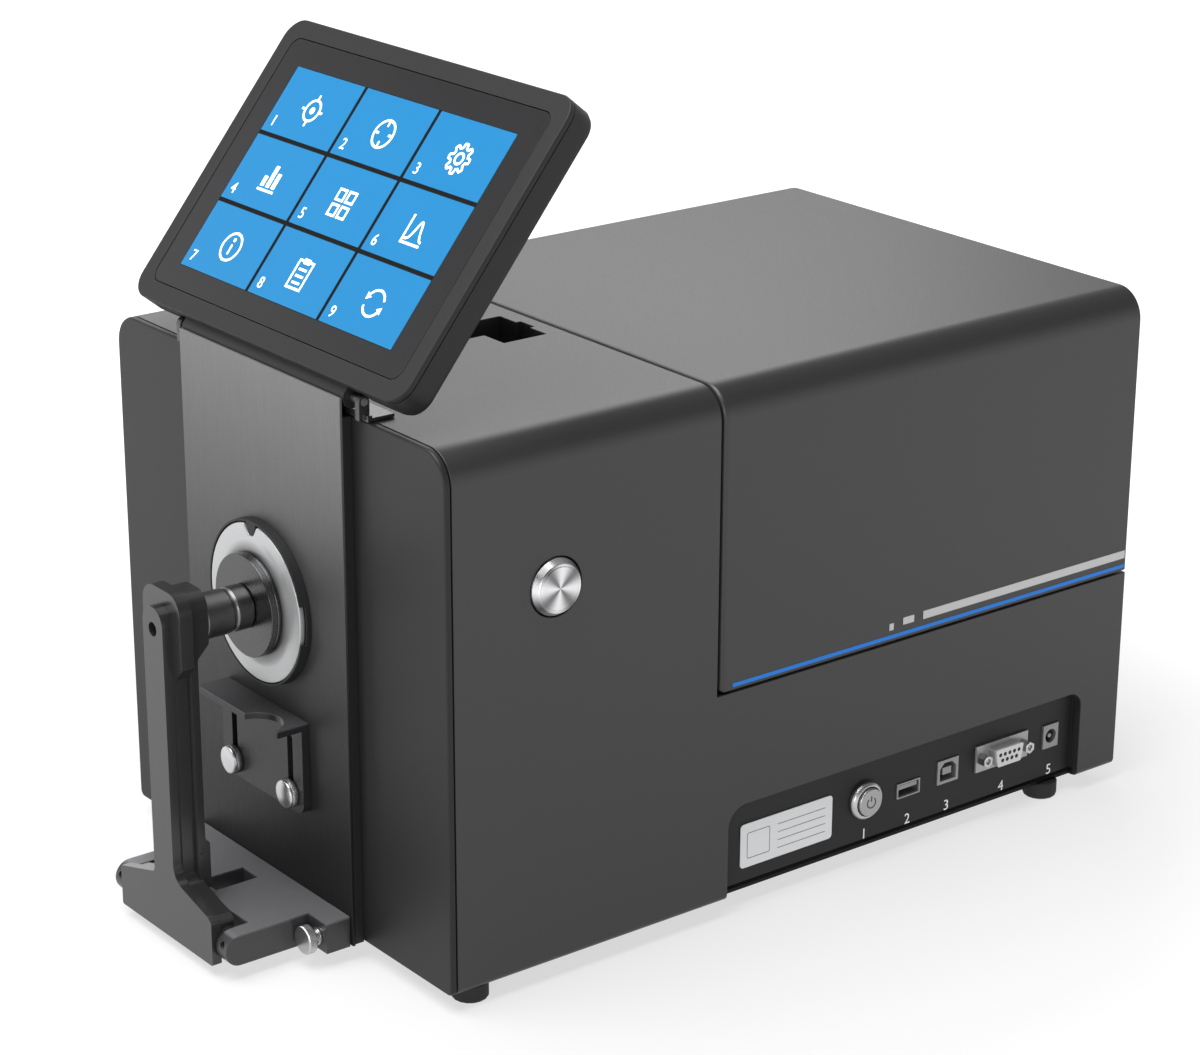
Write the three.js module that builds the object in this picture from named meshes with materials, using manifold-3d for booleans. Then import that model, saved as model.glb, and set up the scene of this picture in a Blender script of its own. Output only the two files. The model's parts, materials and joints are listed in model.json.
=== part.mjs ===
// A benchtop spectrophotometer: an instrument body with a tilting display on
// top, a measuring port with a swinging specimen clamp on the front, and a
// hood at the back that slides away from a transmission compartment.
// Millimetres, +Z up, the measuring port faces -Y, the sockets face +X.
import * as THREE from "three";
import { mergeVertices } from "three/addons/utils/BufferGeometryUtils.js";
import Module from "manifold-3d";

const wasm = await Module();
wasm.setup();

// Clearances, and how far a cutting block reaches past what it cuts
const seatGap = 0.12;
const runGap = 0.35;
const overrun = 4;

// Body
const bodyWidth = 235;
const bodyDepth = 362;
const bodyHeight = 219.4;
const bodyRound = 13;
const bodyFootRound = 2.9;
const wall = 3.2;
const footHeight = 7.6;
const footRadius = 7.5;
const footEdge = 0.9;
const footInset = 9.4;
const footFrontPlace = 15.3;
const footRearMargin = 36.5;
const frameThickness = 2.4;
const frameEdge = 1.1;
const grooveWidth = 0.8;
const grooveDepth = 1.4;
const trayThickness = 3;

// Hood and the compartment under it
const seamPlace = 130.4;
const seamGap = 1.6;
const hoodFoot = 92.8;
const hoodFootGap = 0.9;
const hoodWall = 3;
const hoodLip = 2.3;
const bulkheadThickness = 3;
const deckThickness = 2.4;
const railWidth = 6;
const railHeight = 8;
const railMargin = 8;
const runnerThickness = 2.6;
const runnerWidth = 5;

// Front panel, optical axis and measuring port
const axisHeight = 128.9;
const portHoleRadius = 26;
const panelHalfWidth = 57.6;
const panelRise = 7.9;
const panelDrop = 0.6;
const plateThickness = 1.2;
const backingThickness = 3.9;
const ringBaseRadius = 34.1;
const ringFrontRadius = 34;
const ringBoreRadius = 33.1;
const ringHeight = 4.4;
const ringFloor = 1.8;
const toothRound = 1.8;
const toothTipHalf = 1.9;
const toothRootHalf = 4.2;
const toothReach = 5;
const toothPlace = 1.8;
const toothSink = 0.3;
const recessHalf = 8;
const recessDepth = 2.3;
const maskThickness = 2.5;
const maskRadius = 32.6;
const apertureRadius = 15;
const hubRadius = 21.1;
const hubFlareRadius = 26.4;
const hubHeight = 0.7;
const hubBendShare = 0.35;

// Integrating sphere and optics
const sphereRadius = 50;
const sphereWall = 3;
const spherePlace = 62;
const sphereFlangeWidth = 5;
const sphereFlangeThickness = 2.4;
const portTubeRadius = 20;
const portTubeBore = 16.5;
const rearPortRadius = 9;
const lampPortRadius = 10;
const lampRadius = 14;
const lampShift = 14;
const lampMargin = 18.9;
const lampHeadSize = 34;
const lampHeadLength = 16;
const standWidth = 56;
const standDepth = 28;
const standReach = 14;
const standWindowShare = 0.5;
const opticHeadWidth = 46;
const opticHeadRise = 24;
const spectrometerWidth = 140;
const spectrometerDepth = 44;
const spectrometerHeight = 52;
const spectrometerRound = 5;

// Transmission compartment
const windowRadius = 13;
const lampBoxWidth = 110;
const lampBoxDepth = 74;
const lampBoxHeight = 76;
const lampBoxMargin = 10;
const lampBoxRound = 6;
const collimatorRadius = 16.5;
const collimatorBore = 12;
const collimatorLength = 21;
const collimatorDepth = 18;
const lensInset = 2;
const lensThickness = 3;
const lensBulge = 1.8;
const holderWidth = 64;
const holderDepth = 33;
const holderMargin = 8.6;
const holderPlate = 3;
const holderRise = 20;
const holderGuideHeight = 30;
const holderGap = 14;

// Boards
const boardThickness = 1.6;
const boardRise = 9;
const boardFrontMargin = 16.6;
const boardRearMargin = 25;
const boardLeftMargin = 12.3;
const boardSocketGap = 20.4;
const pillarRadius = 3;
const pillarInset = 8;
const chipSize = 30;
const chipHeight = 4;
const chipCount = 3;
const socketBoardShare = 0.459;
const socketBoardMargin = 1;
const socketBoardHeight = 34;

// Socket bay in the right side
const bayLength = 201.5;
const bayRearMargin = 23;
const bayHeight = 41.1;
const bayFrontRound = 9.4;
const bayRearRound = 7;
const bayDepth = 5.1;
const bayPlateThickness = 1.8;
const bayPlateMargin = 4;
const labelShare = 0.0521;
const labelWidthShare = 0.2476;
const labelHeight = 19.7;
const labelFoot = 9.3;
const labelRound = 1.8;
const labelThickness = 0.4;
const socketFoot = 16.4;
const socketLength = 14;
const socketHollow = 9;
const socketFit = 0.25;
const shellWall = 0.7;
const switchShare = 0.3906;
const switchLevel = 21.7;
const switchRadius = 8.6;
const switchEdge = 1.9;
const switchProud = 3.2;
const switchBodyRadius = 7.4;
const powerButtonRadius = 6.2;
const powerButtonEdge = 0.5;
const powerButtonProud = 1.4;
const powerButtonStem = 5;
const powerTravel = 1;
const usbAShare = 0.5146;
const usbAWidth = 13.1;
const usbAHeight = 6.9;
const usbATongueShares = [0.8, 0.28];
const usbBShare = 0.6278;
const usbBWidth = 12.1;
const usbBHeight = 11;
const usbBSlopeShare = 0.2;
const usbBTongueShares = [0.42, 0.3];
const usbProud = 0.6;
const serialShare = 0.7846;
const serialFlangeMargin = 2.95;
const serialFlangeHeight = 12.2;
const serialFlangeThickness = 1;
const serialShellWidth = 16.6;
const serialShellHeight = 8.2;
const serialShellSlopeShare = 0.17;
const serialShellRound = 1;
const serialProud = 5.7;
const serialPinRadius = 0.7;
const serialPinPitch = 2.76;
const serialPinDepth = 2;
const serialPinSides = 8;
const serialPinRows = [5, 4];
const serialScrewSpacing = 25;
const serialScrewRadius = 2.8;
const serialScrewLength = 4.5;
const serialStemRadius = 1.3;
const serialScrewBoreDepth = 1.5;
const dcShare = 0.933;
const dcWidth = 9;
const dcHeight = 11.1;
const dcProud = 0.9;
const dcBoreRadius = 3.2;
const dcPinRadius = 1;
const dcDepth = 6;

// Test button and the switch behind it
const testPlace = 50.5;
const testLevel = 157.6;
const testRadius = 11.5;
const testFaceRadius = 9.3;
const testProud = 2.8;
const testGap = 0.7;
const testRimDepth = 2.4;
const testStemRadius = 3;
const testStemLength = 6;
const testTravel = 1.5;
const testSwitchFlange = 15;
const testSwitchFlangeDepth = 4;
const testSwitchRadius = 9;
const testSwitchLength = 20;

// Finger pocket in the top
const pocketLeft = 16.1;
const pocketRight = 15.9;
const pocketChannelRight = 2.4;
const pocketStart = 36;
const pocketStep = 101;
const pocketEnd = 122.2;
const pocketNotchHalf = 4.7;
const pocketNotch = 2.3;
const pocketDepth = 11;
const pocketWall = 2;

// Display and its hinge
const displayTilt = 51.1;
const displayHalfWidth = 95.9;
const displayHeight = 131.5;
const displayThickness = 14.1;
const displayRound = 9.4;
const displayBackEdge = 2.9;
const displayStart = 2.1;
const displayFront = 8.7;
const displayWall = 2.6;
const bezelThickness = 2.6;
const bezelEdge = 0.5;
const glassInset = 8.35;
const glassRound = 5;
const glassThickness = 1.5;
const glassGap = 0.35;
const glassSink = 0.15;
const lcdInset = 4;
const lcdThickness = 4;
const displayBoardInset = 16;
const hingePlace = 0.5;
const hingeRise = 7.4;
const hingeRadius = 4.4;
const hingeHalfLength = 58;
const hingePinRadius = 1.6;
const hingePinFit = 0.1;
const hingeNeckDepth = 4;
const hingeEarPlace = 62.6;
const hingeEarWidth = 3;
const hingeEarRadius = 2.4;
const hingeEarRoom = 0.5;
const hingeFootHalfLength = 68.6;
const hingeFootThickness = 1.5;
const hingeFootDepth = 12;
const hingeStripDepth = 2.1;
const hingeStripHeight = 2.5;

// Specimen shelf
const shelfHalfWidth = 29.8;
const shelfFoot = 46.8;
const shelfTop = 86.2;
const shelfThickness = 3.4;
const shelfReach = 14.5;
const ledgeThickness = 2.9;
const shelfRound = 4.7;
const scoopRadius = 11.7;
const scoopPlace = 17.1;
const scoopOut = 2.8;
const slotSpacing = 41.7;
const slotWidth = 3.8;
const slotRoundShare = 0.98;
const slotEnd = 79.4;
const studLevel = 54.3;
const studRadius = 1.7;
const nutRadius = 6;
const nutThickness = 4.6;
const nutEdge = 0.5;
const nutCap = 1.2;
const nutTeeth = 20;
const nutToothDepth = 0.25;

// Clamp base and its thumbscrews
const baseDrop = 1.2;
const baseThickness = 13.2;
const earHalfWidth = 55.8;
const earReach = 11;
const cheekOuter = 42.9;
const cheekInner = 35.8;
const armAxisPlace = 48.3;
const armAxisLevel = 5.9;
const baseMiddleReach = 34.5;
const baseSlotLeft = 7.9;
const baseSlotRight = 3.8;
const baseSlotStart = 9.9;
const baseSlotEnd = 29.8;
const cheekScrewRadius = 1.5;
const cheekScrewDepth = 3;
const cheekScrewRise = 2.4;
const cheekBlind = 1.6;
const thumbPlace = 49.2;
const thumbLevel = 4.4;
const thumbRadius = 5.9;
const thumbHeadLength = 4;
const thumbNeckRadius = 3.6;
const thumbNeckLength = 3.2;
const thumbShankRadius = 1.9;
const thumbShankLength = 18;
const thumbBoreFit = 0.25;

// Clamp arm
const armPinRadius = 2;
const armPinFit = 0.1;
const knuckleRadius = 6.2;
const armFront = 56.4;
const armBarHalfWidth = 7.4;
const armBarThickness = 5.05;
const armBarTop = 138.3;
const armBarRoundShare = 0.98;
const armHoleRadius = 2.95;
const armPlateHalfWidth = 13.9;
const armPlateThickness = 4.8;
const armPlateTop = 144.7;
const armHeadFoot = 114.6;
const armHeadRound = 8.2;
const armWaistHalfWidth = 8.2;
const armFootHalfWidth = 35;
const armFootDrop = 2.7;
const armFootThickness = 4.2;
const armFootRound = 1;
const armWebInset = 1.5;
const armWebStart = 0.9;
const armWebThickness = 11.4;
const armWebFoot = 6;
const shoulderLeft = 14.5;
const shoulderLeftTop = 22.5;
const shoulderRight = 16;
const slopeFoot = 17.9;
const slopeTop = 24.6;
const slopeEnd = 32.3;
const shoulderRound = 2.4;
const neckRoundLeft = 3;
const neckRoundRight = 8;
const neckRise = 9;

// Clamp housing, plunger and disc
const housingHalfWidth = 10.4;
const housingTop = 143;
const housingDepth = 8.8;
const housingRound = 7;
const housingEdge = 2;
const housingHeadFoot = 121.6;
const housingSlope = 5.6;
const housingBarDepth = 3.5;
const housingFoot = 17.6;
const housingHeelTop = 37.5;
const housingHeelDepth = 5.5;
const dowelLevel = 34.7;
const dowelInset = 1.5;
const dowelRadius = 1.4;
const dowelSink = 0.4;
const plungerRadius = 9.2;
const plungerFit = 0.15;
const plungerChamfer = 1.3;
const plungerRound = 0.9;
const plungerRodRadius = 2.6;
const plungerRodFit = 0.1;
const discThickness = 4.45;
const discEdge = 0.3;

// Facet counts
const roundSteps = 32;
const fineSteps = 48;
const smallSteps = 16;
const cornerSteps = 5;
const sphereSteps = 24;
const sphereRings = 14;
const edgeSteps = 2;

// Places that follow from the sizes
const bodyFoot = footHeight;
const bodyTop = bodyFoot + bodyHeight;
const bodyHalf = bodyWidth / 2;
const innerHalf = bodyHalf - wall;
const axisLevel = bodyFoot + axisHeight;
const trayTop = bodyFoot + trayThickness;
const shellStart = frameThickness + grooveWidth;
const shellEnd = bodyDepth - wall - seatGap;
const footRearPlace = bodyDepth - footRearMargin;
const hoodStart = seamPlace + seamGap;
const holderPlace = seamPlace + holderMargin;
const boardPlace = seamPlace + boardFrontMargin;
const hoodBottom = bodyFoot + hoodFoot;
const deckTop = hoodBottom - hoodFootGap;
const backingFront = -backingThickness - seatGap;
const panelBack = backingFront - seatGap;
const panelFront = panelBack - plateThickness;
const fixtureBack = panelFront - seatGap;
const ringFront = fixtureBack - ringHeight;
const maskBack = fixtureBack - ringFloor - seatGap;
const maskFront = maskBack - maskThickness;
const hubFront = maskFront - hubHeight;
const discFront = hubFront - seatGap;
const discBack = discFront - discThickness;
const shelfFront = fixtureBack - shelfThickness;
const nutFront = shelfFront - seatGap - nutThickness;
const lampBoxPlace = bodyDepth - lampBoxMargin - lampBoxDepth;
const bayEnd = bodyDepth - bayRearMargin;
const bayStart = bayEnd - bayLength;
const labelPlace = bayStart + bayLength * labelShare;
const switchPlace = bayStart + bayLength * switchShare;
const usbAPlace = bayStart + bayLength * usbAShare;
const usbBPlace = bayStart + bayLength * usbBShare;
const serialPlace = bayStart + bayLength * serialShare;
const dcPlace = bayStart + bayLength * dcShare;
const socketBoardPlace = bayStart + bayLength * socketBoardShare;
const bayFloor = bodyHalf - bayDepth;
const socketBack = bayFloor - socketLength;
const socketSeat = bayFloor + seatGap;
const switchHeight = bodyFoot + switchLevel;
const serialFlangeWidth = serialScrewSpacing + 2 * serialFlangeMargin;
const serialLevel = bodyFoot + socketFoot + serialFlangeHeight / 2;
const hingeLevel = bodyTop + hingeRise;
const thumbHeight = bodyFoot + thumbLevel;
const studHeight = bodyFoot + studLevel;
const armAxis = [-armAxisPlace, bodyFoot + armAxisLevel];
const armFace = -armFront;
const armBarBack = armFace + armBarThickness;
const armPlateBack = armBarBack + armPlateThickness;
const housingFront = armPlateBack + seatGap;
const housingBack = housingFront + housingDepth;
const port = [0, axisLevel];

// A closed three.js geometry as a solid that can be joined and cut.
function solid(geometry) {
  const bare = geometry.index ? geometry.toNonIndexed() : geometry.clone();
  bare.deleteAttribute("normal");
  bare.deleteAttribute("uv");
  const merged = mergeVertices(bare, 1e-4);
  const mesh = new wasm.Mesh({
    numProp: 3,
    vertProperties: new Float32Array(merged.attributes.position.array),
    triVerts: new Uint32Array(merged.index.array),
  });
  return new wasm.Manifold(mesh);
}

// The facets of a solid as a three.js geometry.
function facets(body) {
  const mesh = body.getMesh();
  const points = new Float32Array(mesh.numVert * 3);
  for (let i = 0; i < mesh.numVert; i++) {
    const start = i * mesh.numProp;
    points.set(mesh.vertProperties.subarray(start, start + 3), i * 3);
  }
  const geometry = new THREE.BufferGeometry();
  geometry.setAttribute("position", new THREE.BufferAttribute(points, 3));
  geometry.setIndex(new THREE.BufferAttribute(mesh.triVerts, 1));
  const flat = geometry.toNonIndexed();
  flat.computeVertexNormals();
  return flat;
}

function join(bodies) {
  return bodies.reduce((sum, body) => sum.add(body));
}

function cut(body, tools) {
  return tools.reduce((rest, tool) => rest.subtract(tool), body);
}

// The two limits of a stretch between a and b, the lower one first.
function between(a, b) {
  return [Math.min(a, b), Math.max(a, b)];
}

// The stretch from half below a centre to half above it.
function around(centre, half) {
  return [centre - half, centre + half];
}

// A block between two limits on each axis.
function block([x0, x1], [y0, y1], [z0, z1]) {
  const box = new THREE.BoxGeometry(x1 - x0, y1 - y0, z1 - z0);
  box.translate((x0 + x1) / 2, (y0 + y1) / 2, (z0 + z1) / 2);
  return solid(box);
}

const X = new THREE.Vector3(1, 0, 0);
const Y = new THREE.Vector3(0, 1, 0);
const Z = new THREE.Vector3(0, 0, 1);
const FRONT = new THREE.Vector3(0, -1, 0);
const DOWN = new THREE.Vector3(0, 0, -1);

// A flat shape pushed along an axis. The shape is drawn in the other two:
// (y, z) for x, (x, z) for y and (x, y) for z.
function prism(shape, axis, [from, to], edge = 0, bevelSegments = edgeSteps) {
  const geometry = new THREE.ExtrudeGeometry(shape, {
    depth: to - from - 2 * edge,
    bevelEnabled: edge > 0,
    bevelThickness: edge,
    bevelSize: edge,
    bevelOffset: -edge,
    bevelSegments,
    curveSegments: cornerSteps,
  });
  geometry.translate(0, 0, edge);
  const turn = new THREE.Matrix4();
  if (axis === "x") turn.makeBasis(Y, Z, X).setPosition(from, 0, 0);
  if (axis === "y") turn.makeBasis(X, Z, FRONT).setPosition(0, to, 0);
  if (axis === "z") turn.setPosition(0, 0, from);
  return solid(geometry.applyMatrix4(turn));
}

// A prism along y whose front edge alone is rounded.
function frontRounded(shape, [from, to], edge) {
  const nose = prism(shape, "y", [from, Math.min(to, from + 3 * edge)], edge);
  return nose.add(prism(shape, "y", [from + edge, to]));
}

// Moves a geometry that is round about +Y to the named axis. The centre is
// given in the other two axes.
function placeRound(geometry, axis, [a, b]) {
  const turn = new THREE.Matrix4();
  if (axis === "x") turn.makeBasis(Y, X, DOWN).setPosition(0, a, b);
  if (axis === "y") turn.setPosition(a, 0, b);
  if (axis === "z") turn.makeBasis(X, Z, FRONT).setPosition(a, b, 0);
  return solid(geometry.applyMatrix4(turn));
}

// A round bar along an axis.
function rod(axis, centre, radius, [from, to], steps = smallSteps) {
  const geometry = new THREE.CylinderGeometry(radius, radius, to - from, steps);
  geometry.translate(0, (from + to) / 2, 0);
  return placeRound(geometry, axis, centre);
}

// A profile of [radius, place] pairs turned about an axis.
function turned(axis, centre, profile, steps = roundSteps) {
  const points = profile.map(([radius, place]) => new THREE.Vector2(radius, place));
  if (THREE.ShapeUtils.isClockWise(points)) points.reverse();
  return placeRound(new THREE.LatheGeometry(points, steps), axis, centre);
}

// A closed outline with a radius at each corner, from [u, v, radius] rows.
function outline(corners) {
  const shape = new THREE.Shape();
  const count = corners.length;
  corners.forEach(([u, v, radius], i) => {
    const [u0, v0] = corners[(i + count - 1) % count];
    const [u1, v1] = corners[(i + 1) % count];
    const here = new THREE.Vector2(u, v);
    const into = new THREE.Vector2(u0, v0).sub(here).normalize();
    const out = new THREE.Vector2(u1, v1).sub(here).normalize();
    const half = Math.acos(THREE.MathUtils.clamp(into.dot(out), -1, 1)) / 2;
    const reach = radius / Math.tan(half);
    const start = here.clone().addScaledVector(into, reach);
    const end = here.clone().addScaledVector(out, reach);
    if (i === 0) shape.moveTo(start.x, start.y);
    else shape.lineTo(start.x, start.y);
    if (radius === 0) return;
    const inward = into.clone().add(out).normalize();
    const centre = here.clone().addScaledVector(inward, radius / Math.sin(half));
    const from = start.clone().sub(centre).angle();
    const to = end.clone().sub(centre).angle();
    shape.absarc(centre.x, centre.y, radius, from, to, into.cross(out) > 0);
  });
  shape.closePath();
  return shape;
}

function rectangle([u0, u1], [v0, v1], radius = 0) {
  return outline([
    [u0, v0, radius],
    [u1, v0, radius],
    [u1, v1, radius],
    [u0, v1, radius],
  ]);
}

// A circle with shallow teeth round it.
function knurl([u, v], radius) {
  const points = Array.from({ length: nutTeeth * 2 }, (_, i) => {
    const angle = (Math.PI * i) / nutTeeth;
    const reach = i % 2 ? radius - nutToothDepth : radius;
    return new THREE.Vector2(u + reach * Math.cos(angle), v + reach * Math.sin(angle));
  });
  return new THREE.Shape(points);
}

// The outline of the body seen from the front, pulled in by an inset.
function bodyOutline(inset, foot, footRound = 0) {
  const half = bodyHalf - inset;
  const round = bodyRound - inset;
  const top = bodyTop - inset;
  return outline([
    [-half, foot, footRound],
    [half, foot, footRound],
    [half, top, round],
    [-half, top, round],
  ]);
}

// The colours and finishes of the pieces
function material(color, roughness, metalness) {
  return new THREE.MeshStandardMaterial({ color, roughness, metalness });
}

const darkShell = material(0x4a4a4b, 0.48, 0.1);
const blackPlastic = material(0x262627, 0.5, 0);
const satinPanel = material(0x7d7d7f, 0.42, 0.75);
const blackMetal = material(0x3a3a3b, 0.38, 0.6);
const brightMetal = material(0xc9cacc, 0.18, 1);
const brushedMetal = material(0xb4b5b8, 0.3, 1);
const lightPlate = material(0xc4c5c6, 0.45, 0.3);
const labelStock = material(0xd2d3d4, 0.6, 0);
const boardGreen = material(0x1f5a3a, 0.55, 0);
const whiteCoat = material(0xf2f2ee, 0.9, 0);
const castMetal = material(0x8e9093, 0.5, 0.8);
const rubber = material(0x1b1b1c, 0.85, 0);
const darkGlass = material(0x3a3b3e, 0.15, 0);

const root = new THREE.Group();
root.name = "benchtop_spectrophotometer";

function add(name, body, finish, group = root) {
  const mesh = new THREE.Mesh(facets(body), finish);
  mesh.name = name;
  group.add(mesh);
}

// Body shells

function bayOutline() {
  const top = bodyFoot + bayHeight;
  const foot = bodyFoot - overrun;
  return outline([
    [bayStart, foot, 0],
    [bayEnd, foot, 0],
    [bayEnd, top, bayRearRound],
    [bayStart, top, bayFrontRound],
  ]);
}

function baseTray() {
  const half = innerHalf - seatGap;
  const tray = block([-half, half], [shellStart, shellEnd], [bodyFoot, trayTop]);
  return cut(tray, [prism(bayOutline(), "x", [bayFloor, bodyHalf])]);
}

function portBore(along) {
  return rod("y", port, portHoleRadius, along, roundSteps);
}

function thumbBores(along) {
  const radius = thumbShankRadius + thumbBoreFit;
  return [-1, 1].map((side) => rod("y", [side * thumbPlace, thumbHeight], radius, along));
}

function frontFrame() {
  const face = bodyOutline(0, bodyFoot, bodyFootRound);
  const plate = frontRounded(face, [0, frameThickness], frameEdge);
  const rimFoot = bodyFoot + grooveDepth;
  const rim = bodyOutline(grooveDepth, rimFoot, bodyFootRound - grooveDepth);
  const hollow = bodyOutline(wall, rimFoot + wall);
  const along = [frameThickness - frameEdge, shellStart - seatGap];
  const ring = cut(prism(rim, "y", along), [prism(hollow, "y", [frameThickness, shellStart])]);
  const through = [-overrun, shellStart + overrun];
  return cut(plate.add(ring), [portBore(through), ...thumbBores(through)]);
}

function pocketOutline(grow) {
  const left = -pocketLeft - grow;
  const channel = pocketChannelRight + grow;
  const right = pocketRight + grow;
  const start = pocketStart - grow;
  const step = pocketStep - grow;
  const end = pocketEnd + grow;
  const notch = pocketNotchHalf + grow;
  const notchEnd = end + pocketNotch;
  return outline([
    [left, start, 0],
    [channel, start, 0],
    [channel, step, 0],
    [right, step, 0],
    [right, end, 0],
    [notch, end, 0],
    [notch, notchEnd, 0],
    [-notch, notchEnd, 0],
    [-notch, end, 0],
    [left, end, 0],
  ]);
}

function mainHousing() {
  const face = bodyOutline(0, bodyFoot, bodyFootRound);
  const inside = bodyOutline(wall, bodyFoot - overrun);
  const hollow = prism(inside, "y", [0, bodyDepth - wall]);
  const shell = cut(prism(face, "y", [shellStart, bodyDepth]), [hollow]);
  const cupFoot = bodyTop - pocketDepth - pocketWall;
  const cup = prism(pocketOutline(pocketWall), "z", [cupFoot, bodyTop - wall / 2]);
  const above = block(
    [-bodyWidth, bodyWidth],
    [seamPlace, bodyDepth + overrun],
    [deckTop, bodyTop + overrun],
  );
  const pocket = prism(pocketOutline(0), "z", [bodyTop - pocketDepth, bodyTop + overrun]);
  const side = [innerHalf - overrun, bodyHalf + overrun];
  const bay = prism(bayOutline(), "x", side);
  const place = [testPlace, bodyFoot + testLevel];
  const button = rod("x", place, testRadius + testGap, side, roundSteps);
  return cut(shell.add(cup), [above, pocket, bay, button]);
}

function hood() {
  const outer = frontRounded(bodyOutline(0, hoodBottom), [hoodStart, bodyDepth], hoodLip);
  const inside = bodyOutline(hoodWall, hoodBottom - overrun);
  const hollow = prism(inside, "y", [hoodStart - overrun, bodyDepth - hoodWall]);
  const foot = deckTop + seatGap + railHeight + runGap;
  const runners = [-1, 1].map((side) => {
    const outside = side * (bodyHalf - hoodWall / 2);
    const across = between(outside, side * (bodyHalf - hoodWall - runnerWidth));
    const along = [hoodStart + hoodLip, bodyDepth - hoodWall / 2];
    return block(across, along, [foot, foot + runnerThickness]);
  });
  return join([cut(outer, [hollow]), ...runners]);
}

function compartmentBulkhead() {
  const face = bodyOutline(wall + seatGap, trayTop + seatGap);
  const plate = prism(face, "y", [seamPlace - bulkheadThickness, seamPlace]);
  const bayRoom = block(
    [bayFloor - bayPlateThickness - seatGap, bodyHalf],
    [bayStart - bayPlateMargin - seatGap, bayEnd],
    [0, bodyFoot + bayHeight + bayPlateMargin + seatGap],
  );
  return cut(plate, [rod("y", port, windowRadius, [0, hoodStart], roundSteps), bayRoom]);
}

function compartmentDeck() {
  const half = innerHalf - seatGap;
  const along = [seamPlace + seatGap, shellEnd];
  return block([-half, half], along, [deckTop - deckThickness, deckTop]);
}

function hoodRail(side) {
  const outside = innerHalf - seatGap;
  const across = between(side * outside, side * (outside - railWidth));
  const along = [hoodStart + railMargin, bodyDepth - wall - railMargin];
  const foot = deckTop + seatGap;
  return block(across, along, [foot, foot + railHeight]);
}

function rubberFoot(side, place) {
  const centre = [side * (bodyHalf - footInset), place];
  const top = bodyFoot - seatGap;
  const profile = [
    [0, 0],
    [footRadius - footEdge, 0],
    [footRadius, footEdge],
    [footRadius, top],
    [0, top],
  ];
  return turned("z", centre, profile, smallSteps);
}

// Front panel and measuring port

function panelBores() {
  const along = [panelFront - overrun, 0];
  const studs = [-1, 1].map((side) =>
    rod("y", [(side * slotSpacing) / 2, studHeight], studRadius + seatGap, along),
  );
  return [portBore(along), ...thumbBores(along), ...studs];
}

function panelBacking() {
  const across = [-panelHalfWidth, panelHalfWidth];
  const plate = block(across, [backingFront, -seatGap], [bodyFoot, bodyTop]);
  return cut(plate, panelBores());
}

function frontPanel() {
  const across = [-panelHalfWidth, panelHalfWidth];
  const level = [bodyFoot - panelDrop, bodyTop + panelRise];
  return cut(block(across, [panelFront, panelBack], level), panelBores());
}

// The locating tooth of the ring, or the notch in the mask that it fits.
function tooth(grow, along) {
  const tip = axisLevel + ringBoreRadius - toothReach - grow;
  const root = axisLevel + ringFrontRadius;
  const shape = outline([
    [-toothPlace - toothTipHalf - grow, tip, toothRound],
    [-toothPlace + toothTipHalf + grow, tip, toothRound],
    [-toothPlace + toothRootHalf + grow, root, 0],
    [-toothPlace - toothRootHalf - grow, root, 0],
  ]);
  const middleRadius = (ringBoreRadius + ringFrontRadius) / 2;
  return prism(shape, "y", along).intersect(rod("y", port, middleRadius, along, fineSteps));
}

function bayonetRing() {
  const floor = fixtureBack - ringFloor;
  const bore = portTubeRadius + runGap;
  const profile = [
    [bore, floor],
    [ringBoreRadius, floor],
    [ringBoreRadius, ringFront],
    [ringFrontRadius, ringFront],
    [ringBaseRadius, fixtureBack],
    [bore, fixtureBack],
    [bore, floor],
  ];
  const recess = block(
    [hubFlareRadius, ringBaseRadius + overrun],
    [ringFront - overrun, ringFront + recessDepth],
    around(axisLevel, recessHalf),
  );
  const key = tooth(0, [ringFront + toothSink, floor + ringFloor / 2]);
  return cut(turned("y", port, profile, fineSteps), [recess]).add(key);
}

function apertureMask() {
  const bend = hubRadius + (hubFlareRadius - hubRadius) * hubBendShare;
  const profile = [
    [apertureRadius, hubFront],
    [apertureRadius, maskBack],
    [maskRadius, maskBack],
    [maskRadius, maskFront],
    [hubFlareRadius, maskFront],
    [bend, maskFront - hubHeight * hubBendShare],
    [hubRadius, hubFront],
    [apertureRadius, hubFront],
  ];
  const notch = tooth(runGap, [hubFront - overrun, fixtureBack]);
  return cut(turned("y", port, profile, fineSteps), [notch]);
}

// Integrating sphere and optics

function ball(radius) {
  const geometry = new THREE.SphereGeometry(radius, sphereSteps, sphereRings);
  geometry.translate(0, spherePlace, axisLevel);
  return solid(geometry);
}

function sphereFlange(grow) {
  const along = around(spherePlace, sphereFlangeThickness + grow);
  return rod("y", port, sphereRadius + sphereFlangeWidth + grow, along, roundSteps);
}

function sphereHalf(side) {
  const reach = sphereRadius + sphereFlangeWidth + overrun;
  const along = between(spherePlace + (side * seatGap) / 2, spherePlace + side * reach);
  const keep = block([-reach, reach], along, around(axisLevel, reach));
  const shell = ball(sphereRadius).add(sphereFlange(0));
  return cut(shell, [ball(sphereRadius - sphereWall)]).intersect(keep);
}

function sphereFrontHalf() {
  const along = [0, spherePlace];
  return cut(sphereHalf(-1), [rod("y", port, portTubeBore, along, roundSteps)]);
}

function sphereRearHalf() {
  const rear = rod("y", port, rearPortRadius, [spherePlace, seamPlace], roundSteps);
  const side = rod("x", lampAxis(), lampPortRadius, [-bodyHalf, 0], roundSteps);
  return cut(sphereHalf(1), [rear, side]);
}

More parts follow.
